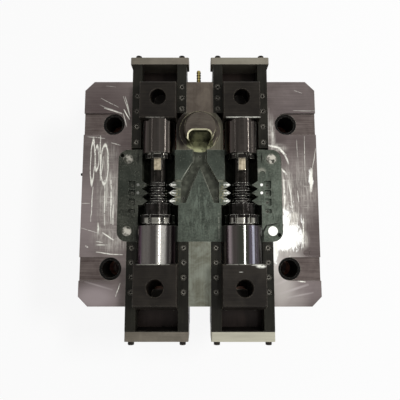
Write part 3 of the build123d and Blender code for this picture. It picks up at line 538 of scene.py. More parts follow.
@dataclass(frozen=True)
class HolderSteel(Steel):
    """Ground face of the holder block: mauve-grey fields, grinder marks, and polished patches that also
    carry a painted reflection.
    """

    rough_spread: ClassVar[float] = 0.2
    polished_by: ClassVar[float] = 0.12

    face: float = 0.26
    slot_depth: float = 0.006
    marks: Coat = Coat(shade(246, 245, 234), (
        Loop(-229, 62, 4.5, 46, 2.2), Loop(-220, 70, 4.0, 26, 2.0), Loop(-203, 56, 8.0, 42, 2.4),
        Stroke(-214, 118, -211, 22, 3.0, 1.0), Stroke(-206, 74, -210, 22, 2.0),
        Stroke(-197, 82, -197, 35, 1.8), Stroke(-215, 203, -177, 183, 1.8, 0.5),
        Stroke(-207, 181, -169, 168, 2.4, 0.9), Stroke(-217, 187, -170, 170, 1.8, 0.5),
        Stroke(-167, 207, -151, 162, 2.0, 0.6), Stroke(-165, 177, -152, 156, 3.0, 1.0),
        Stroke(-163, 207, -151, 164, 2.2, 0.7), Stroke(-166, 168, -158, 140, 3.0, 0.6),
        Stroke(-242, 117, -205, 113, 2.2, 0.6), Stroke(-190, 103, -171, 99, 2.0, 0.7),
        Stroke(-205, 230, -184, 228, 1.6, 0.3), Stroke(-226, 8, -229, -65, 2.6, 0.8),
        Stroke(-202, 22, -199, -74, 2.6, 0.9), Stroke(-188, 22, -186, -70, 3.6, 0.9),
        Stroke(-182, -31, -182, -72, 3.4, 0.9), Stroke(-203, -90, -180, -104, 3.6, 1.0),
        Stroke(-216, -108, -203, -110, 2.2, 0.8), Stroke(-216, -115, -198, -115, 2.4, 0.9),
        Stroke(-215, -130, -161, -135, 2.8, 0.9), Stroke(-238, -117, -234, -119, 4.0, 1.0),
        Stroke(-164, -193, -173, -219, 2.4, 0.9), Stroke(-213, -70, -212, -92, 5.0, 0.8),
        Stroke(-249, -28, -232, -28, 1.8, 0.5), Stroke(-249, -79, -212, -90, 1.6, 0.6),
        Stroke(157, 139, 157, 103, 3.0, 0.6), Stroke(150, 180, 147, 101, 3.0, 0.2),
        Stroke(148, 98, 172, 93, 5.5, 1.0), Stroke(168, 94, 184, 77, 6.5, 1.0),
        Stroke(182, 79, 189, 58, 5.0, 0.7), Stroke(206, 220, 223, 214, 1.8, 0.5),
        Stroke(203, 175, 249, 175, 1.6, 0.5), Stroke(225, 118, 223, 44, 2.0, 0.5),
        Stroke(208, 110, 209, 72, 1.8, 0.4), Stroke(248, 91, 239, 44, 2.0, 0.6),
        Stroke(175, 46, 184, 35, 5.0, 0.9), Stroke(238, 46, 235, -1, 8.0, 1.0),
        Stroke(179, 22, 178, -50, 5.0, 0.8), Stroke(188, 22, 195, -36, 3.0, 0.7),
        Stroke(206, -1, 209, -24, 2.4, 0.7), Stroke(217, -60, 215, -119, 3.6, 1.0),
        Stroke(188, -137, 174, -157, 3.4, 0.9), Stroke(157, -106, 161, -137, 6.0, 1.0),
        Stroke(202, -188, 216, -190, 3.4, 0.9),
    ))
    # Polished patches; their tone is also a painted reflection of the lamps.
    polish: Coat = Coat(shade(206, 202, 193), (
        Patch(192, -66, 36, 58, 1.9), Patch(178, -108, 30, 34, 1.9), Patch(206, -104, 28, 30, 1.6),
        Patch(184, 6, 30, 74), Patch(214, 0, 50, 104, 0.55), Patch(-192, -14, 36, 100),
        Patch(-200, 60, 44, 60, 0.5), Patch(-186, -100, 50, 44, 0.9), Patch(154, 118, 12, 60),
        Patch(168, 92, 26, 14, 0.8),
    ))
    # White patches of freshly polished steel that are also a painted reflection on the face.
    bare: Coat = Coat(shade(250, 250, 246), (
        Patch(190, -98, 46, 48, 1.05), Patch(168, -114, 40, 24), Patch(204, -108, 26, 26, 0.5),
        Patch(180, -64, 20, 60, 0.75), Patch(157, -132, 10, 36, 1.1), Patch(210, -70, 16, 50, 0.5),
        Patch(194, -34, 12, 70, 0.4), Patch(236, 22, 10, 40, 0.8),
    ))
    pads: Coat = Coat(shade(158, 147, 147), (
        Patch(-215, -222, 70, 40, 0.9), Patch(210, 190, 80, 90, 0.15), Patch(210, -205, 80, 50, 0.35),
        Patch(200, -160, 90, 30, 0.5), Patch(-240, -60, 40, 160, 0.4),
    ))
    stains: Coat = Coat(shade(78, 67, 66), (
        Patch(-205, 190, 90, 80, 0.6), Patch(-170, 120, 60, 60, 0.3), Patch(226, 120, 50, 60, 0.3),
    ))
    sweeps: Coat = Coat(shade(188, 180, 178), (
        Stroke(158, -196, 196, -178, 7.0, 0.5), Stroke(166, -214, 222, -196, 7.0, 0.5),
        Stroke(180, -222, 232, -212, 5.0, 0.4), Stroke(-236, -190, -180, -206, 5.0, 0.3),
    ))
    glare: Coat = Coat(shade(196, 190, 184), (
        Patch(158, -156, 34, 70, 0.9), Patch(166, -196, 46, 80, 0.7), Patch(188, -140, 40, 30, 0.6),
        Patch(176, -228, 60, 40, 0.35),
    ))
    shadows: Coat = Coat(shade(36, 31, 27), (
        Patch(-45, 140, 20, 56, 1.6), Patch(-38, 112, 14, 30, 1.2), Patch(-40, 162, 24, 20),
    ))
    # Light tone on the deep recesses: painted light.
    walls: Colour = shade(214, 172, 156)
    rear_tones: Tones = (shade(76, 68, 61), shade(108, 99, 89))
    front_tones: Tones = (shade(92, 90, 76), shade(138, 142, 130))
    web_tones: Tones = (shade(80, 76, 62), shade(108, 105, 92))
    slot_tones: Tones = (shade(72, 62, 59), shade(112, 102, 98))
    strip_half: Span = (0.034, 0.028)
    rear_from: Span = (0.080, 0.100)
    front_from: Span = (-0.100, -0.106)
    web_half: Span = (0.052, 0.050)
    web_front: Span = (0.086, 0.088)
    web_rear: Span = (0.172, 0.168)
    slots_from: Span = (0.140, 0.150)
    within_sides: Span = (0.2498, 0.2492)
    within_ends: Span = (0.2398, 0.2392)

    def colour(self, graph: Graph) -> Sock:
        """Colour of the block: its steel, strips and recesses, then the marks on its face."""
        flat = graph.flat()
        colour = super().colour(graph)
        for coat in (self.pads, self.stains):
            colour = coat.over(graph, flat, colour)
        for coat in (self.glare, self.sweeps):
            colour = coat.over(graph, flat, colour, self.top(graph))
        colour = self.recessed(graph, self.striped(graph, flat, colour))
        # Painted reflection, laid with the polished patches.
        colour = graph.mix(self.hazy(graph, flat), colour, self.polish.tone)
        # White patch at the front right: polished steel and painted reflection, made ragged by noise.
        wear_and_sheen = graph.noise((190.0, 80.0, 1.0), detail=4.0, rough=0.6, twist=1.0, shift=3.7)
        bare = painted(graph, flat, self.bare.marks) + (wear_and_sheen * 1.8 - 0.9)
        colour = graph.mix(bare.rise(0.45, 0.85) * self.top(graph), colour, self.bare.tone)
        return graph.mix(self.scratched(graph), colour, self.marks.tone)

    def clouds(self, graph: Graph) -> Sock:
        """Clouds of dull and clean steel, 0 to 1."""
        return graph.noise(34.0, detail=5.0, rough=0.65, twist=0.8, shift=2.3).rise(0.3, 0.7)

    def striped(self, graph: Graph, flat: Sock, below: Sock) -> Sock:
        """Adds the strips before and behind the insert, and the web round the spreader."""
        grain = graph.noise(Grain.ALONG_Y.value, shift=1.7).rise(0.3, 0.7)
        cloudy = self.clouds(graph) * 0.7 + grain * 0.3
        strip = abs(graph.x).rise(*self.strip_half)
        colour = below
        for start, tones in ((self.rear_from, self.rear_tones),
                             (self.front_from, self.front_tones)):
            colour = graph.mix(strip * graph.y.rise(*start), colour, graph.mix(cloudy, *tones))
        web = abs(graph.x).rise(*self.web_half) * graph.y.rise(*self.web_front) \
            * graph.y.rise(*self.web_rear)
        colour = graph.mix(web, colour, graph.mix(grain, *self.web_tones))
        shadow = painted(graph, flat, self.shadows.marks).least(1.0)
        return graph.mix(shadow * web, colour, self.shadows.tone)

    def recessed(self, graph: Graph, below: Sock) -> Sock:
        """Adds the floors of the shallow slots, and a light tone on the deep recesses as painted light.
        """
        lines = graph.noise(Grain.ALONG_X.value, shift=2.9).rise(0.35, 0.65)
        floor = graph.mix(lines * 0.6 + self.clouds(graph) * 0.4, *self.slot_tones)
        half_down = self.face - self.slot_depth / 2
        low = graph.z.rise(half_down, half_down - MM) * abs(graph.x).rise(*self.slots_from)
        colour = graph.mix(low, below, floor)
        deep = graph.z.rise(self.face - 2 * self.slot_depth, self.face - 3 * self.slot_depth)
        within = abs(graph.x).rise(*self.within_sides) * abs(graph.y).rise(*self.within_ends)
        # Painted light: the deep recesses get a light tone.
        return graph.mix(deep * within, colour, self.walls)

    def top(self, graph: Graph) -> Sock:
        """Mask of the parting face."""
        return graph.z.rise(self.face - MM, self.face - MM / 2)

    def hazy(self, graph: Graph, flat: Sock) -> Sock:
        """Mask of the polished patches, which also carry a painted reflection, broken into streaks and
        swirls.
        """
        upright = graph.noise((330.0, 22.0, 1.0), detail=4.0, rough=0.65, twist=0.5, shift=4.4)
        level = graph.noise((26.0, 300.0, 1.0), detail=4.0, rough=0.65, twist=0.5, shift=1.2)
        clouds = graph.noise((34.0, 26.0, 1.0), detail=4.0, twist=1.5, shift=8.8)
        weave = upright.rise(0.42, 0.62).most(level.rise(0.50, 0.68) * 0.8) * 0.75 + 0.25
        area = painted(graph, flat, self.polish.marks)
        area = area * weave * (clouds.rise(0.25, 0.75) * 0.8 + 0.35)
        return area.least(1.0) * self.top(graph)

    def scratched(self, graph: Graph) -> Sock:
        """Mask of the grinder marks."""
        drawn = painted(graph, graph.wander(0.0022, 28.0), self.marks.marks)
        broken = graph.noise((240.0, 240.0, 1.0), detail=3.0, shift=6.1).rise(0.25, 0.5)
        return (drawn * broken * self.top(graph)).least(1.0)

    def roughness(self, graph: Graph) -> Sock:
        """Roughness: lower where the face has been polished."""
        return super().roughness(graph) - self.hazy(graph, graph.flat()) * self.polished_by


@dataclass(frozen=True)
class InsertSteel(Steel):
    """Heat-stained insert: mottled green-grey top, darker hollows and bright fin lands."""

    face: float = 0.26
    lands: Coat = Coat(shade(244, 244, 236), tuple(
        Stroke(side * 52, y, side * 67.5, y, 6.0, 1.0)
        for side in (-1, 1) for y in (12.0, -5.25, -22.5)))
    tips: tuple = tuple(Patch(side * 60, -5, 16, 34, 1.6) for side in (-1, 1))
    roots: Coat = Coat(shade(150, 142, 104),
                       tuple(Patch(side * 50, -6, 13, 30) for side in (-1, 1)))
    smears: Coat = Coat(shade(178, 176, 162), (
        Patch(153, 68, 15, 15, 1.6), Patch(-153, 68, 13, 13, 0.9), Patch(-153, -86, 13, 13),
        Patch(131, 42, 14, 10, 0.5),
    ))
    dull: Coat = Coat(shade(44, 49, 43), (
        Patch(-36, 66, 34, 44, 0.8), Patch(36, 66, 34, 44, 0.6), Patch(-150, 20, 60, 60, 0.5),
    ))
    rubbed: Coat = Coat(shade(116, 126, 114), (
        Patch(0, -14, 60, 50, 0.5), Patch(0, -66, 70, 60, 0.35), Patch(150, -30, 40, 120, 0.45),
    ))
    channel: Coat = Coat(shade(170, 172, 158), (
        Stroke(-16, 61, -41, 21, 1.7, 0.9), Stroke(13, 64, 40, 18, 1.7, 0.9),
        Stroke(-4, 46, -31, -25, 1.5, 0.5), Stroke(4, 46, 28, -18, 1.5, 0.5),
        Stroke(-12, 80, -14, 62, 1.5, 0.5), Stroke(12, 80, 12, 64, 1.5, 0.5),
        Stroke(40, -102, 40, -48, 1.8, 0.7),
    ))
    # Painted shadow: dark lines along the steps round the ears.
    grooves: Coat = Coat(shade(18, 18, 15), (
        Stroke(132, -106, 132, -84, 5.0, 1.4), Stroke(132, -88, 140, -74, 5.0, 1.4),
        Stroke(139, -75, 162, -70, 4.0, 1.1), Stroke(-132, -106, -132, -84, 4.0, 0.9),
        Stroke(-132, 60, -132, 80, 4.0, 0.9), Stroke(132, 60, 132, 80, 4.0, 0.9),
    ))
    left_tones: Tones = (shade(34, 35, 30), shade(72, 74, 66))
    right_tones: Tones = (shade(54, 60, 52), shade(98, 104, 94))
    hollow_tones: Tones = (shade(58, 60, 52), shade(88, 90, 80))
    spots: Colour = shade(140, 141, 128)
    # Light tone on the faces between the teeth: painted light.
    walls: Colour = shade(132, 134, 120)
    middle_to: Span = (0.048, 0.060)
    hollows_to: Span = (0.129, 0.127)
    walls_to: Span = (0.052, 0.048)
    walls_from: Span = (-0.034, -0.030)

    def down(self, graph: Graph, start: float, end: float) -> Sock:
        """Soft step between two depths below the top, in millimetres."""
        return graph.z.rise(self.face - start * MM, self.face - end * MM)

    def colour(self, graph: Graph) -> Sock:
        """Colour of the insert: its top, its hollows, then its lands, the painted shadow lines at the
        ears' steps, and the channel lines.
        """
        flat = graph.flat()
        colour = self.lit(graph, flat, self.hollowed(graph, self.mottled(graph, flat)))
        colour = self.grooves.over(graph, flat, colour)
        return self.channel.over(graph, flat, colour, self.shine(graph))

    def mottled(self, graph: Graph, flat: Sock) -> Sock:
        """Colour of the top: greener in the middle, darker at the left, rubbed in places."""
        sides = graph.mix(graph.x.rise(0.0, MM), graph.mix(self.tone(graph), *self.left_tones),
                          graph.mix(self.tone(graph), *self.right_tones))
        colour = graph.mix(abs(graph.x).rise(*self.middle_to), super().colour(graph), sides)
        colour = self.dull.over(graph, flat, colour)
        rubs = graph.noise((160.0, 30.0, 1.0), detail=4.0, rough=0.7, twist=0.6, shift=3.3)
        colour = self.rubbed.over(graph, flat, colour, rubs.rise(0.45, 0.62))
        spots = graph.noise(300.0, detail=3.0, shift=9.9).rise(0.60, 0.70) * 0.3
        return graph.mix(spots, colour, self.spots)

    def hollowed(self, graph: Graph, below: Sock) -> Sock:
        """Adds the floors of the hollows and a light tone as painted light on the faces between the
        teeth.
        """
        stain = graph.noise(90.0, detail=4.0, shift=1.1).rise(0.40, 0.75)
        floor = self.down(graph, 1.6, 3) * abs(graph.x).rise(*self.hollows_to)
        colour = graph.mix(floor, below, graph.mix(stain, *self.hollow_tones))
        wall = self.down(graph, 0.2, 1) * self.down(graph, 12, 11)
        wall = wall * abs(graph.x).rise(*self.walls_to) * graph.y.rise(*self.walls_from)
        # Painted light on the faces between the teeth.
        return graph.mix(wall * (stain * 0.5 + 0.4), colour, self.walls)

    def lit(self, graph: Graph, flat: Sock, below: Sock) -> Sock:
        """Adds the golden roots of the teeth, their bright lands and the smears by the ears."""
        gold = graph.noise(320.0, detail=3.0, shift=5.9).rise(0.5, 0.62)
        colour = self.roots.over(graph, flat, below, gold, 0.8)
        high = self.down(graph, 2, 1)
        rims = painted(graph, flat, self.tips) * graph.edges(0.0022, 0.01, 0.10)
        lands = painted(graph, flat, self.lands.marks) * self.shine(graph)
        colour = graph.mix(lands.most(rims) * high, colour, self.lands.tone)
        smear = graph.noise(150.0, detail=4.0, rough=0.7, shift=7.7).rise(0.38, 0.52)
        return self.smears.over(graph, flat, colour, smear, high)

    def shine(self, graph: Graph) -> Sock:
        """Breaks in what is polished, 0 to 1."""
        return graph.noise(260.0, detail=2.0, shift=2.2).rise(0.35, 0.5)


@dataclass(frozen=True)
class ReflectionBand:
    """Painted reflection stripe along a core: on which side's core, and where across it, in radii."""

    side: int
    at: float
    half: float
    share: float
    colour: Colour


@dataclass(frozen=True)
class CoreSteel(Steel):
    """Cylindrically ground core: painted reflection stripes along it, painted shade at its sides, a
    sooty nose and a notched collar.
    """

    rough_spread: ClassVar[float] = 0.08

    grain: Grain = Grain.ALONG_X
    metal: float = 1.0
    wear: float = 0.9
    wear_width: float = 0.0012
    axis_x: float = 0.088
    radius: float = 0.0425
    # Painted reflections: light, dark and tinted stripes along the cores, for the core on each side.
    bands: tuple = (
        ReflectionBand(-1, -0.80, 0.16, 0.7, shade(96, 70, 92)), ReflectionBand(-1, -0.45, 0.30, 0.5, shade(116, 112, 108)),
        ReflectionBand(-1, 0.26, 0.30, 0.8, shade(196, 193, 186)), ReflectionBand(-1, 0.66, 0.16, 0.7, shade(38, 36, 35)),
        ReflectionBand(-1, 0.84, 0.10, 0.6, shade(96, 72, 90)), ReflectionBand(1, -0.74, 0.26, 0.75, shade(150, 138, 141)),
        ReflectionBand(1, -0.42, 0.14, 0.5, shade(70, 64, 62)), ReflectionBand(1, -0.05, 0.40, 0.85, shade(46, 50, 42)),
        ReflectionBand(1, 0.30, 0.12, 0.6, shade(92, 86, 100)), ReflectionBand(1, 0.44, 0.09, 0.8, shade(190, 190, 206)),
        ReflectionBand(1, 0.62, 0.12, 0.5, shade(66, 60, 72)), ReflectionBand(1, 0.02, 0.06, 0.7, shade(206, 208, 200)),
    )
    collar: Span = (0.0600, 0.0730)
    notches: float = 5.7
    notch_turn: float = 1.97
    notch_lean: float = 0.42
    soot_end: float = 0.0747
    soot: Colour = shade(20, 19, 17)
    # Painted shade towards the core's sides.
    flanks: Colour = shade(24, 20, 20)
    panels: Colour = shade(132, 130, 122)

    def across(self, graph: Graph) -> Sock:
        """Place across the core, in radii."""
        return (graph.x - graph.x.maths("SIGN") * self.axis_x) / self.radius

    def colour(self, graph: Graph) -> Sock:
        """Colour of the core: painted reflection stripes along it, painted shade towards its sides, soot
        on its nose, and panels round its collar.
        """
        colour = self.banded(graph)
        # Painted shade: the core darkens towards its sides.
        flank_shading = abs(self.across(graph)).rise(0.82, 0.97) * 0.7
        colour = graph.mix(flank_shading, colour, self.flanks)
        nose = abs(graph.y).rise(self.soot_end + MM, self.soot_end)
        smoke = graph.noise(110.0, detail=4.0, shift=6.1).rise(0.30, 0.62) * 0.35 + 0.6
        colour = graph.mix(nose * smoke, colour, self.soot)
        return graph.mix(self.panelled(graph) * smoke, colour, self.panels)

    def banded(self, graph: Graph) -> Sock:
        """Colour of the ground steel with its painted reflection stripes, which stop at the soot."""
        across = self.across(graph)
        place = graph.node("ShaderNodeCombineXYZ", {},
                           (across * 5.0, graph.y * 3.0, graph.z * 60.0))
        wave = graph.node("ShaderNodeTexNoise", {},
                          {"Vector": place, "Scale": 1.0, "Detail": 3.0})
        tone = wave.rise(0.35, 0.65) * 0.7 + self.lines(graph) * 0.3
        colour = graph.mix(tone, self.dark, self.light)
        body = abs(graph.y).rise(self.soot_end, self.soot_end + MM)
        body = body * (self.lines(graph) * 0.3 + 0.7)
        for reflection in self.bands:
            beside = (graph.x * reflection.side).rise(-MM, MM)
            here = beside * abs(across - reflection.at).rise(reflection.half, reflection.half / 4)
            colour = graph.mix(here * body * reflection.share, colour, reflection.colour)
        return colour

    def panelled(self, graph: Graph) -> Sock:
        """Mask of the bright panels between the collar's notches."""
        low, high = self.collar
        collar = abs(graph.y).rise(low, low + MM) * abs(graph.y).rise(high, high - MM)
        across = self.across(graph)
        turned = across * self.notches + graph.x.maths("SIGN") * self.notch_lean
        wave = abs((turned + self.notch_turn).maths("SINE")).rise(0.25, 0.45)
        return collar * (wave * abs(across).rise(0.62, 0.50))


@dataclass(frozen=True)
class SpreaderSteel(Steel):
    """Sprue spreader: brown-grey boss with painted shade and painted highlights, and an olive slot with
    a painted gold highlight along its rim.
    """

    centre_y: float = 0.130
    slot_half: float = 0.024
    boss_top: float = 0.282
    shade_x: float = 0.007
    shade_from: Span = (0.0355, 0.0385)
    shade_left_of: Span = (0.012, -0.004)
    shadow: Colour = shade(38, 33, 28)
    olive_tones: Tones = (shade(40, 40, 26), shade(92, 92, 66))
    mouth_tone: Colour = shade(168, 170, 132)
    # Painted highlight along the slot's rim.
    gleams: Coat = Coat(shade(246, 240, 204), (
        Patch(-24, 120, 18, 26, 1.6), Patch(22, 122, 10, 10, 1.4), Patch(4, 128, 30, 8, 0.5),
    ))
    # Painted highlights of the boss's fillet.
    arcs: Coat = Coat(shade(188, 184, 150), (
        Stroke(33, 126, 20, 94, 2.0, 0.9), Stroke(38, 116, 27, 92, 2.0, 0.8),
        Stroke(28, 112, 22, 98, 1.6, 0.9), Stroke(-33, 134, -28, 154, 1.5, 0.3),
        Stroke(-28, 154, -14, 164, 1.5, 0.3),
    ))

    def colour(self, graph: Graph) -> Sock:
        """Colour of the boss and of its slot."""
        flat = graph.flat()
        sunk = graph.z.rise(self.boss_top - 0.2 * MM, self.boss_top - 0.6 * MM)
        slot = abs(graph.x).rise(self.slot_half + 5 * MM, self.slot_half + 3.5 * MM) \
            * graph.y.rise(self.centre_y + 2 * MM, self.centre_y)
        return graph.mix(slot * sunk, self.boss(graph, flat), self.slot(graph, flat, sunk))

    def boss(self, graph: Graph, flat: Sock) -> Sock:
        """Colour of the boss, with painted shade at its left and painted highlights of its fillet round
        its front.
        """
        middle = (self.shade_x, self.centre_y, 0.0)
        off = graph.vector("DISTANCE", flat, middle, output="Value")
        shaded = off.rise(*self.shade_from) * graph.x.rise(*self.shade_left_of) * 0.85
        steel = graph.mix(shaded, super().colour(graph), self.shadow)
        runs = graph.noise(300.0, detail=2.0, shift=1.9).rise(0.35, 0.5)
        return self.arcs.over(graph, flat, steel, runs)

    def slot(self, graph: Graph, flat: Sock, sunk: Sock) -> Sock:
        """Colour of the slot: olive, with a painted gold highlight at the rim, and pale at the mouth."""
        stain = graph.noise(70.0, detail=4.0, shift=3.3).rise(0.35, 0.65)
        rim = sunk * graph.z.rise(self.boss_top - 4 * MM, self.boss_top - 3 * MM)
        rim_highlight = painted(graph, flat, self.gleams.marks).least(1.0)
        olive = graph.mix(stain, *self.olive_tones)
        # Painted highlight along the rim.
        olive = graph.mix(rim * (rim_highlight * 0.75 + 0.25), olive, self.gleams.tone)
        mouth = graph.y.rise(self.centre_y - 30 * MM, self.centre_y - 40 * MM)
        return graph.mix(mouth * stain, olive, self.mouth_tone)


@dataclass(frozen=True)
class BushSteel(Steel):
    """Guide bush: a ground rim, and a bore painted black as shade."""

    rim: float = 0.2535
    # Painted shade in the bore.
    bore_tones: Tones = (shade(8, 8, 7), shade(34, 32, 28))

    def colour(self, graph: Graph) -> Sock:
        """Colour of the bush: painted shade below the rim's chamfer."""
        rings = graph.noise((30.0, 30.0, 700.0), shift=2.0).rise(0.4, 0.7)
        below = graph.z.rise(self.rim - MM, self.rim - 1.6 * MM)
        return graph.mix(below, super().colour(graph), graph.mix(rings, *self.bore_tones))


@dataclass(frozen=True)
class PinSteel(Steel):
    """Pin ends flush with the insert, polished by the runs; the front right one and the small ones on
    the right are nearly white.
    """

    bright: Coat = Coat(shade(246, 246, 240), (
        Patch(153, -86, 16, 16), Patch(131, 12, 6, 6), Patch(131, -5, 6, 6), Patch(-131, 12, 6, 6, 0.08),
        Patch(-131, -5, 6, 6, 0.08),
    ))
    corners: Coat = Coat(shade(196, 192, 180), (
        Patch(153, 68, 18, 18, 0.8), Patch(-153, 68, 18, 18, 0.35), Patch(-153, -86, 18, 18, 0.6),
    ))

    def colour(self, graph: Graph) -> Sock:
        """Colour of the pins, nearly white at the front right one and at the small ones on the right."""
        flat = graph.flat()
        faced = graph.noise(120.0, detail=4.0, shift=6.6).rise(0.35, 0.6)
        colour = self.corners.over(graph, flat, super().colour(graph), 2, faced)
        return self.bright.over(graph, flat, colour, 2)


@dataclass(frozen=True)
class BlockSteel(Steel):
    """Slide blocks: dark tops, with painted highlights along their top front edges and on a chipped
    corner.
    """

    glints: Coat = Coat(shade(226, 226, 216), (
        Stroke(56, 148.6, 126, 148.6, 3.4, 1.1), Stroke(-112, 148.6, -74, 148.6, 2.0, 0.3),
        Stroke(102, -154.5, 122, -154, 3.0, 0.9), Patch(120, -156, 13, 6, 1.3),
        Stroke(77, -168, 84, -168, 1.8, 0.6), Stroke(-124, -153.6, -60, -153.6, 2.0, 0.4),
        Stroke(52, -153.6, 100, -153.6, 1.8, 0.4),
    ))
    lowest: float = 0.290

    def colour(self, graph: Graph) -> Sock:
        """Colour of the blocks, with the glints near their tops."""
        # Painted highlights: bright strokes along the top front edges, broken by noise.
        glint_breaks = graph.noise(260.0, detail=3.0, shift=2.7).rise(0.32, 0.5)
        high = graph.z.rise(self.lowest, self.lowest + MM)
        return self.glints.over(graph, graph.flat(), super().colour(graph), glint_breaks, high)


@dataclass(frozen=True)
class EndPlateSteel(Steel):
    """End plates: each a different lightness, the front right one the lightest."""

    ages: Coat = Coat(shade(196, 193, 174), (
        Patch(88, -300, 130, 60, 1.65), Patch(88, 290, 130, 60, 0.42), Patch(-88, 290, 130, 60, 0.2),
        Patch(-88, -300, 130, 60, 0.15),
    ))
    inner: float = 0.2905
    inner_tone: Colour = shade(20, 18, 16)

    def colour(self, graph: Graph) -> Sock:
        """Colour of the plates by place, with painted shade on the front ones' inner faces."""
        lighter = painted(graph, graph.flat(), self.ages.marks).least(1.0)
        streaks = graph.noise((14.0, 160.0, 160.0), detail=3.0, shift=4.0) * 0.5 + 0.6
        colour = graph.mix(lighter * streaks, super().colour(graph), self.ages.tone)
        # Painted shade on the front plates' inner faces.
        inside_shade = graph.y.rise(-self.inner, -self.inner + MM / 2) * graph.y.rise(0.1, 0.0)
        return graph.mix(inside_shade, colour, self.inner_tone)


class Finish(Enum):
    """Finishes of the mould, one for each slot of the record."""

    ground_block = HolderSteel(
        "ground_block", shade(80, 71, 69), shade(124, 114, 111), shade(214, 208, 196),
        Grain.ALONG_X, mottle=9.0, grain_share=0.35, rough=0.44, wear=0.7)
    insert_steel = InsertSteel(
        "insert_steel", shade(48, 52, 46), shade(88, 95, 85), shade(196, 198, 184),
        mottle=30.0, wear=0.75, wear_width=0.0005, shift=1.3)
    spreader_steel = SpreaderSteel(
        "spreader_steel", shade(64, 57, 52), shade(96, 89, 80), shade(222, 216, 170),
        Grain.ROUND, mottle=26.0, rough=0.38, wear=1.0, wear_width=0.0011, shift=2.6)
    brass = Steel(
        "brass", shade(120, 104, 52), shade(190, 176, 112), shade(236, 228, 178),
        mottle=80.0, rough=0.3, metal=1.0, wear=0.7, wear_width=0.0004)
    key_steel = Steel(
        "key_steel", shade(104, 92, 74), shade(206, 194, 168), shade(236, 230, 212),
        Grain.ALONG_Y, mottle=160.0, grain_share=0.6, rough=0.4)
    black_screws = Steel(
        "black_screws", shade(20, 18, 16), shade(48, 44, 39), shade(200, 196, 182),
        mottle=120.0, rough=0.36, wear=1.0, wear_width=0.0018, wear_gaps=-0.3)
    bright_core = CoreSteel(
        "bright_core", shade(30, 28, 27), shade(72, 68, 66), shade(228, 226, 216),
        rough=0.18, relief=0.00001)
    dark_core = CoreSteel(
        "dark_core", shade(38, 35, 33), shade(66, 61, 57), shade(196, 194, 182),
        rough=0.12, relief=0.000006, shift=4.0, radius=0.035, soot_end=0.0742,
        collar=(0.0715, 0.0742),
        bands=tuple(
            ReflectionBand(side, at, half, share, tone)
            for at, half, share, tone in ((0.30, 0.5, 0.25, shade(96, 91, 86)),
                                          (-0.80, 0.16, 0.4, shade(84, 62, 66)))
            for side in (-1, 1)))
    blackened_steel = Steel(
        "blackened_steel", shade(18, 17, 14), shade(42, 41, 35), shade(112, 108, 94),
        Grain.ALONG_Y, mottle=16.0, wear_width=0.0008, shift=0.7)
    block_steel = BlockSteel(
        "block_steel", shade(24, 21, 19), shade(47, 43, 38), shade(130, 122, 108),
        Grain.ALONG_X, mottle=20.0, rough=0.4, wear=1.0, wear_width=0.0022, shift=5.5)
    end_plate_steel = EndPlateSteel(
        "end_plate_steel", shade(78, 70, 62), shade(116, 107, 97), shade(196, 190, 172),
        Grain.ALONG_X, mottle=40.0, rough=0.44)
    wear_steel = Steel(
        "wear_steel", shade(26, 21, 19), shade(40, 33, 30), shade(96, 88, 78),
        Grain.ALONG_Y, mottle=30.0, rough=0.36)
    hardened_steel = PinSteel(
        "hardened_steel", shade(44, 45, 40), shade(70, 70, 62), shade(226, 222, 208),
        mottle=110.0, rough=0.34)
    plate_steel = Steel(
        "plate_steel", shade(84, 76, 72), shade(116, 108, 104), shade(190, 184, 172),
        Grain.ALONG_X, mottle=8.0, rough=0.46, shift=8.1)


BUSH = BushSteel(
    "bush_steel", shade(6, 6, 5), shade(18, 16, 14), shade(206, 202, 186),
    Grain.ROUND, mottle=90.0, rough=0.5, wear=0.7, wear_gaps=0.2)


@dataclass
class Dresser:
    """Gives every carried-over node the finish of its slot in the record."""

    made: dict = field(default_factory=dict)

    def material(self, finish: Steel) -> bpy.types.Material:
        """Material of a finish, made once."""
        if finish.name not in self.made:
            self.made[finish.name] = finish.build()
        return self.made[finish.name]

    def dress(self, node: str, finish: Steel) -> None:
        """Puts a finish on a node.

        Args:
            node: Name of the node.
            finish: Its finish.
        """
        solid = frame["nodes"][node]
        if not solid.material_slots:
            solid.data.materials.append(None)
        for place in solid.material_slots:
            place.material = self.material(finish)

    def dress_all(self) -> None:
        """Dresses every node by its slot, and the guide bushes on their own."""
        for part in frame["record"]["subparts"]:
            name = part["node"]
            finish = BUSH if name.startswith("guide_bush") else Finish[part["material_slot"]].value
            self.dress(name, finish)
            log.info("%s: %s", name, finish.name)


def start_piece() -> None:
    """Deselects everything, so that the next primitive is edited alone."""
    bpy.ops.object.select_all(action="DESELECT")


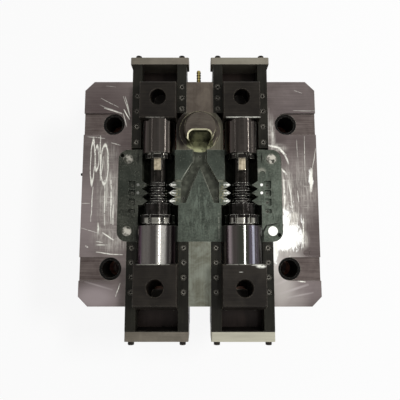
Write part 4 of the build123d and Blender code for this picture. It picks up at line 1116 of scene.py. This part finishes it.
@dataclass
class SidePin:
    """Small socket screw that stands out of the holder block's left side, a stop for its guard.

    Its socket's wall and rounded edge are shares of its diameter, and its socket's depth of its
    reach.
    """

    diameter: float = 0.006
    reach: float = 0.0055
    y: float = 0.036
    drop: float = 0.010
    socket_wall: float = 0.22
    socket_depth: float = 0.45
    edge: float = 0.06
    sides: int = 32
    sharp_from: float = 35.0

    def build(self, dresser: Dresser) -> None:
        """Models the pin and fits it.

        Args:
            dresser: Source of its finish.
        """
        low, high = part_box("holder_block")
        start_piece()
        place = (low.x - self.reach / 2, self.y, high.z - self.drop)
        bpy.ops.mesh.primitive_cylinder_add(
            vertices=self.sides, radius=self.diameter / 2, depth=self.reach,
            location=place, rotation=(0.0, -pi / 2, 0.0))
        pin = bpy.context.object
        pin.name = "side_pin"
        bpy.ops.object.transform_apply(location=True, rotation=True, scale=True)
        bpy.ops.object.mode_set(mode="EDIT")
        bpy.ops.mesh.select_mode(type="FACE")
        bpy.ops.mesh.select_all(action="DESELECT")
        bpy.ops.object.mode_set(mode="OBJECT")
        cap = min(pin.data.polygons, key=lambda face: face.center.x)
        cap.select = True
        bpy.ops.object.mode_set(mode="EDIT")
        bpy.ops.mesh.inset(thickness=self.diameter * self.socket_wall)
        inwards = (self.reach * self.socket_depth, 0.0, 0.0)
        bpy.ops.mesh.extrude_region_move(TRANSFORM_OT_translate={"value": inwards})
        bpy.ops.object.mode_set(mode="OBJECT")
        bevel = pin.modifiers.new("edges", "BEVEL")
        bevel.width = self.diameter * self.edge
        bevel.segments = 2
        bevel.limit_method = "ANGLE"
        bpy.ops.object.modifier_apply(modifier=bevel.name)
        bpy.ops.object.shade_smooth_by_angle(angle=radians(self.sharp_from))
        pin.data.materials.append(dresser.material(Finish.black_screws.value))
        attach(pin, "mould")
        log.info("%s", pin.name)


@dataclass(frozen=True)
class Lamp:
    """Rectangular studio lamp."""

    name: str
    place: tuple[float, float, float]
    aim: tuple[float, float, float]
    width: float
    length: float
    watts: float
    lights_matt: bool = True
    lights_gloss: bool = True

    def build(self) -> None:
        """Hangs the lamp; its length lies along Y as far as its aim allows."""
        light = bpy.data.lights.new(self.name, "AREA")
        light.shape = "RECTANGLE"
        light.size, light.size_y = self.width, self.length
        light.energy = self.watts
        lamp = bpy.data.objects.new(self.name, light)
        bpy.context.scene.collection.objects.link(lamp)
        lamp.location = self.place
        lamp.visible_diffuse, lamp.visible_glossy = self.lights_matt, self.lights_gloss
        away = Vector(self.place) - Vector(self.aim)
        side = Vector((0.0, 1.0, 0.0)).cross(away).normalized()
        up = away.cross(side).normalized()
        turned = Matrix((side, up, away.normalized())).transposed()
        lamp.rotation_euler = turned.to_euler()


@dataclass
class Studio:
    """White floor, white surroundings, soft lamps and the camera."""

    lens: float = 36.0
    sensor: float = 36.0
    clip: Span = (0.01, 50.0)
    eye: tuple[float, float, float] = (0.0004, -0.1254, 1.0975)
    tilt: float = 7.14
    floor_size: float = 14.0
    floor_drop: float = 0.0002
    fill: float = 0.25
    shadow_share: float = 0.10
    white: Colour = (1.0, 1.0, 1.0)
    floor_tone: Colour = (0.9, 0.9, 0.9)
    lamps: tuple = (
        Lamp("key", (2.05, 0.45, 3.00), (0.0, 0.0, 0.26),
             0.5, 0.9, 84.0, lights_gloss=False),
        Lamp("front_strip", (0.36, -0.02, 1.80), (0.0, -0.12, 0.30),
             0.042, 0.45, 2.4, lights_matt=False),
        Lamp("rear_strip", (2.53, 0.90, 2.45), (0.0, 0.12, 0.30),
             0.05, 1.2, 16.0, lights_matt=False),
        Lamp("low_strip", (3.2, 0.70, 0.9), (0.0, 0.0, 0.30),
             0.10, 2.4, 5.0, lights_matt=False),
        Lamp("left_strip", (-2.4, 1.00, 2.7), (0.0, 0.12, 0.30),
             0.05, 1.0, 3.0, lights_matt=False),
    )

    def seen(self, tree: bpy.types.NodeTree) -> bpy.types.NodeSocket:
        """Mask of the rays that see the surroundings as a white background.

        Args:
            tree: Tree to add the nodes to.

        Returns:
            1 for camera, glossy and transmission rays.
        """
        path = tree.nodes.new("ShaderNodeLightPath")
        mask = path.outputs["Is Camera Ray"]
        for ray in ("Is Glossy Ray", "Is Transmission Ray"):
            either = tree.nodes.new("ShaderNodeMath")
            either.operation = "MAXIMUM"
            tree.links.new(mask, either.inputs[0])
            tree.links.new(path.outputs[ray], either.inputs[1])
            mask = either.outputs[0]
        return mask

    def build_world(self) -> None:
        """White surroundings, dimmer as a light than as a background."""
        world = bpy.data.worlds.new("surroundings")
        bpy.context.scene.world = world
        world.use_nodes = True
        tree = world.node_tree
        back = tree.nodes["Background"]
        back.inputs["Color"].default_value = (*self.white, 1.0)
        strength = tree.nodes.new("ShaderNodeMapRange")
        tree.links.new(self.seen(tree), strength.inputs["Value"])
        strength.inputs["To Min"].default_value = self.fill
        strength.inputs["To Max"].default_value = 1.0
        tree.links.new(strength.outputs[0], back.inputs["Strength"])

    def build_floor(self) -> None:
        """White floor that keeps a soft shadow of the mould."""
        start_piece()
        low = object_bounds()[0]
        bpy.ops.mesh.primitive_plane_add(
            size=self.floor_size, location=(0.0, 0.0, low[2] - self.floor_drop))
        floor = bpy.context.object
        floor.name = "floor"
        graph = Graph("floor_white")
        matt = graph.node("ShaderNodeBsdfDiffuse", {}, {"Color": self.floor_tone})
        glow = graph.node("ShaderNodeEmission", {}, {"Color": self.white, "Strength": 1.0})
        share = Sock(graph, self.seen(graph.tree)) * (1 - self.shadow_share)
        graph.node_out(graph.node("ShaderNodeMixShader", {}, (share, matt, glow)))
        floor.data.materials.append(graph.material)
        floor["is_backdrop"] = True

    def build_camera(self) -> None:
        """Camera above the parting face, tilted a little towards the rear."""
        lens = bpy.data.cameras.new("camera")
        lens.lens, lens.sensor_width = self.lens, self.sensor
        lens.clip_start, lens.clip_end = self.clip
        camera = bpy.data.objects.new("camera", lens)
        bpy.context.scene.collection.objects.link(camera)
        camera.location = self.eye
        camera.rotation_euler = (radians(self.tilt), 0.0, 0.0)
        bpy.context.scene.camera = camera

    def build(self) -> None:
        """Builds the whole studio."""
        self.build_world()
        self.build_floor()
        for lamp in self.lamps:
            lamp.build()
        self.build_camera()
        bpy.context.scene.view_settings.view_transform = "Standard"


def main() -> None:
    """Dresses the nodes, adds the small pieces and builds the studio."""
    logging.basicConfig(level=logging.INFO, format="%(name)s: %(message)s")
    dresser = Dresser()
    dresser.dress_all()
    SidePin().build(dresser)
    Studio().build()


if __name__ == "__main__":
    main()
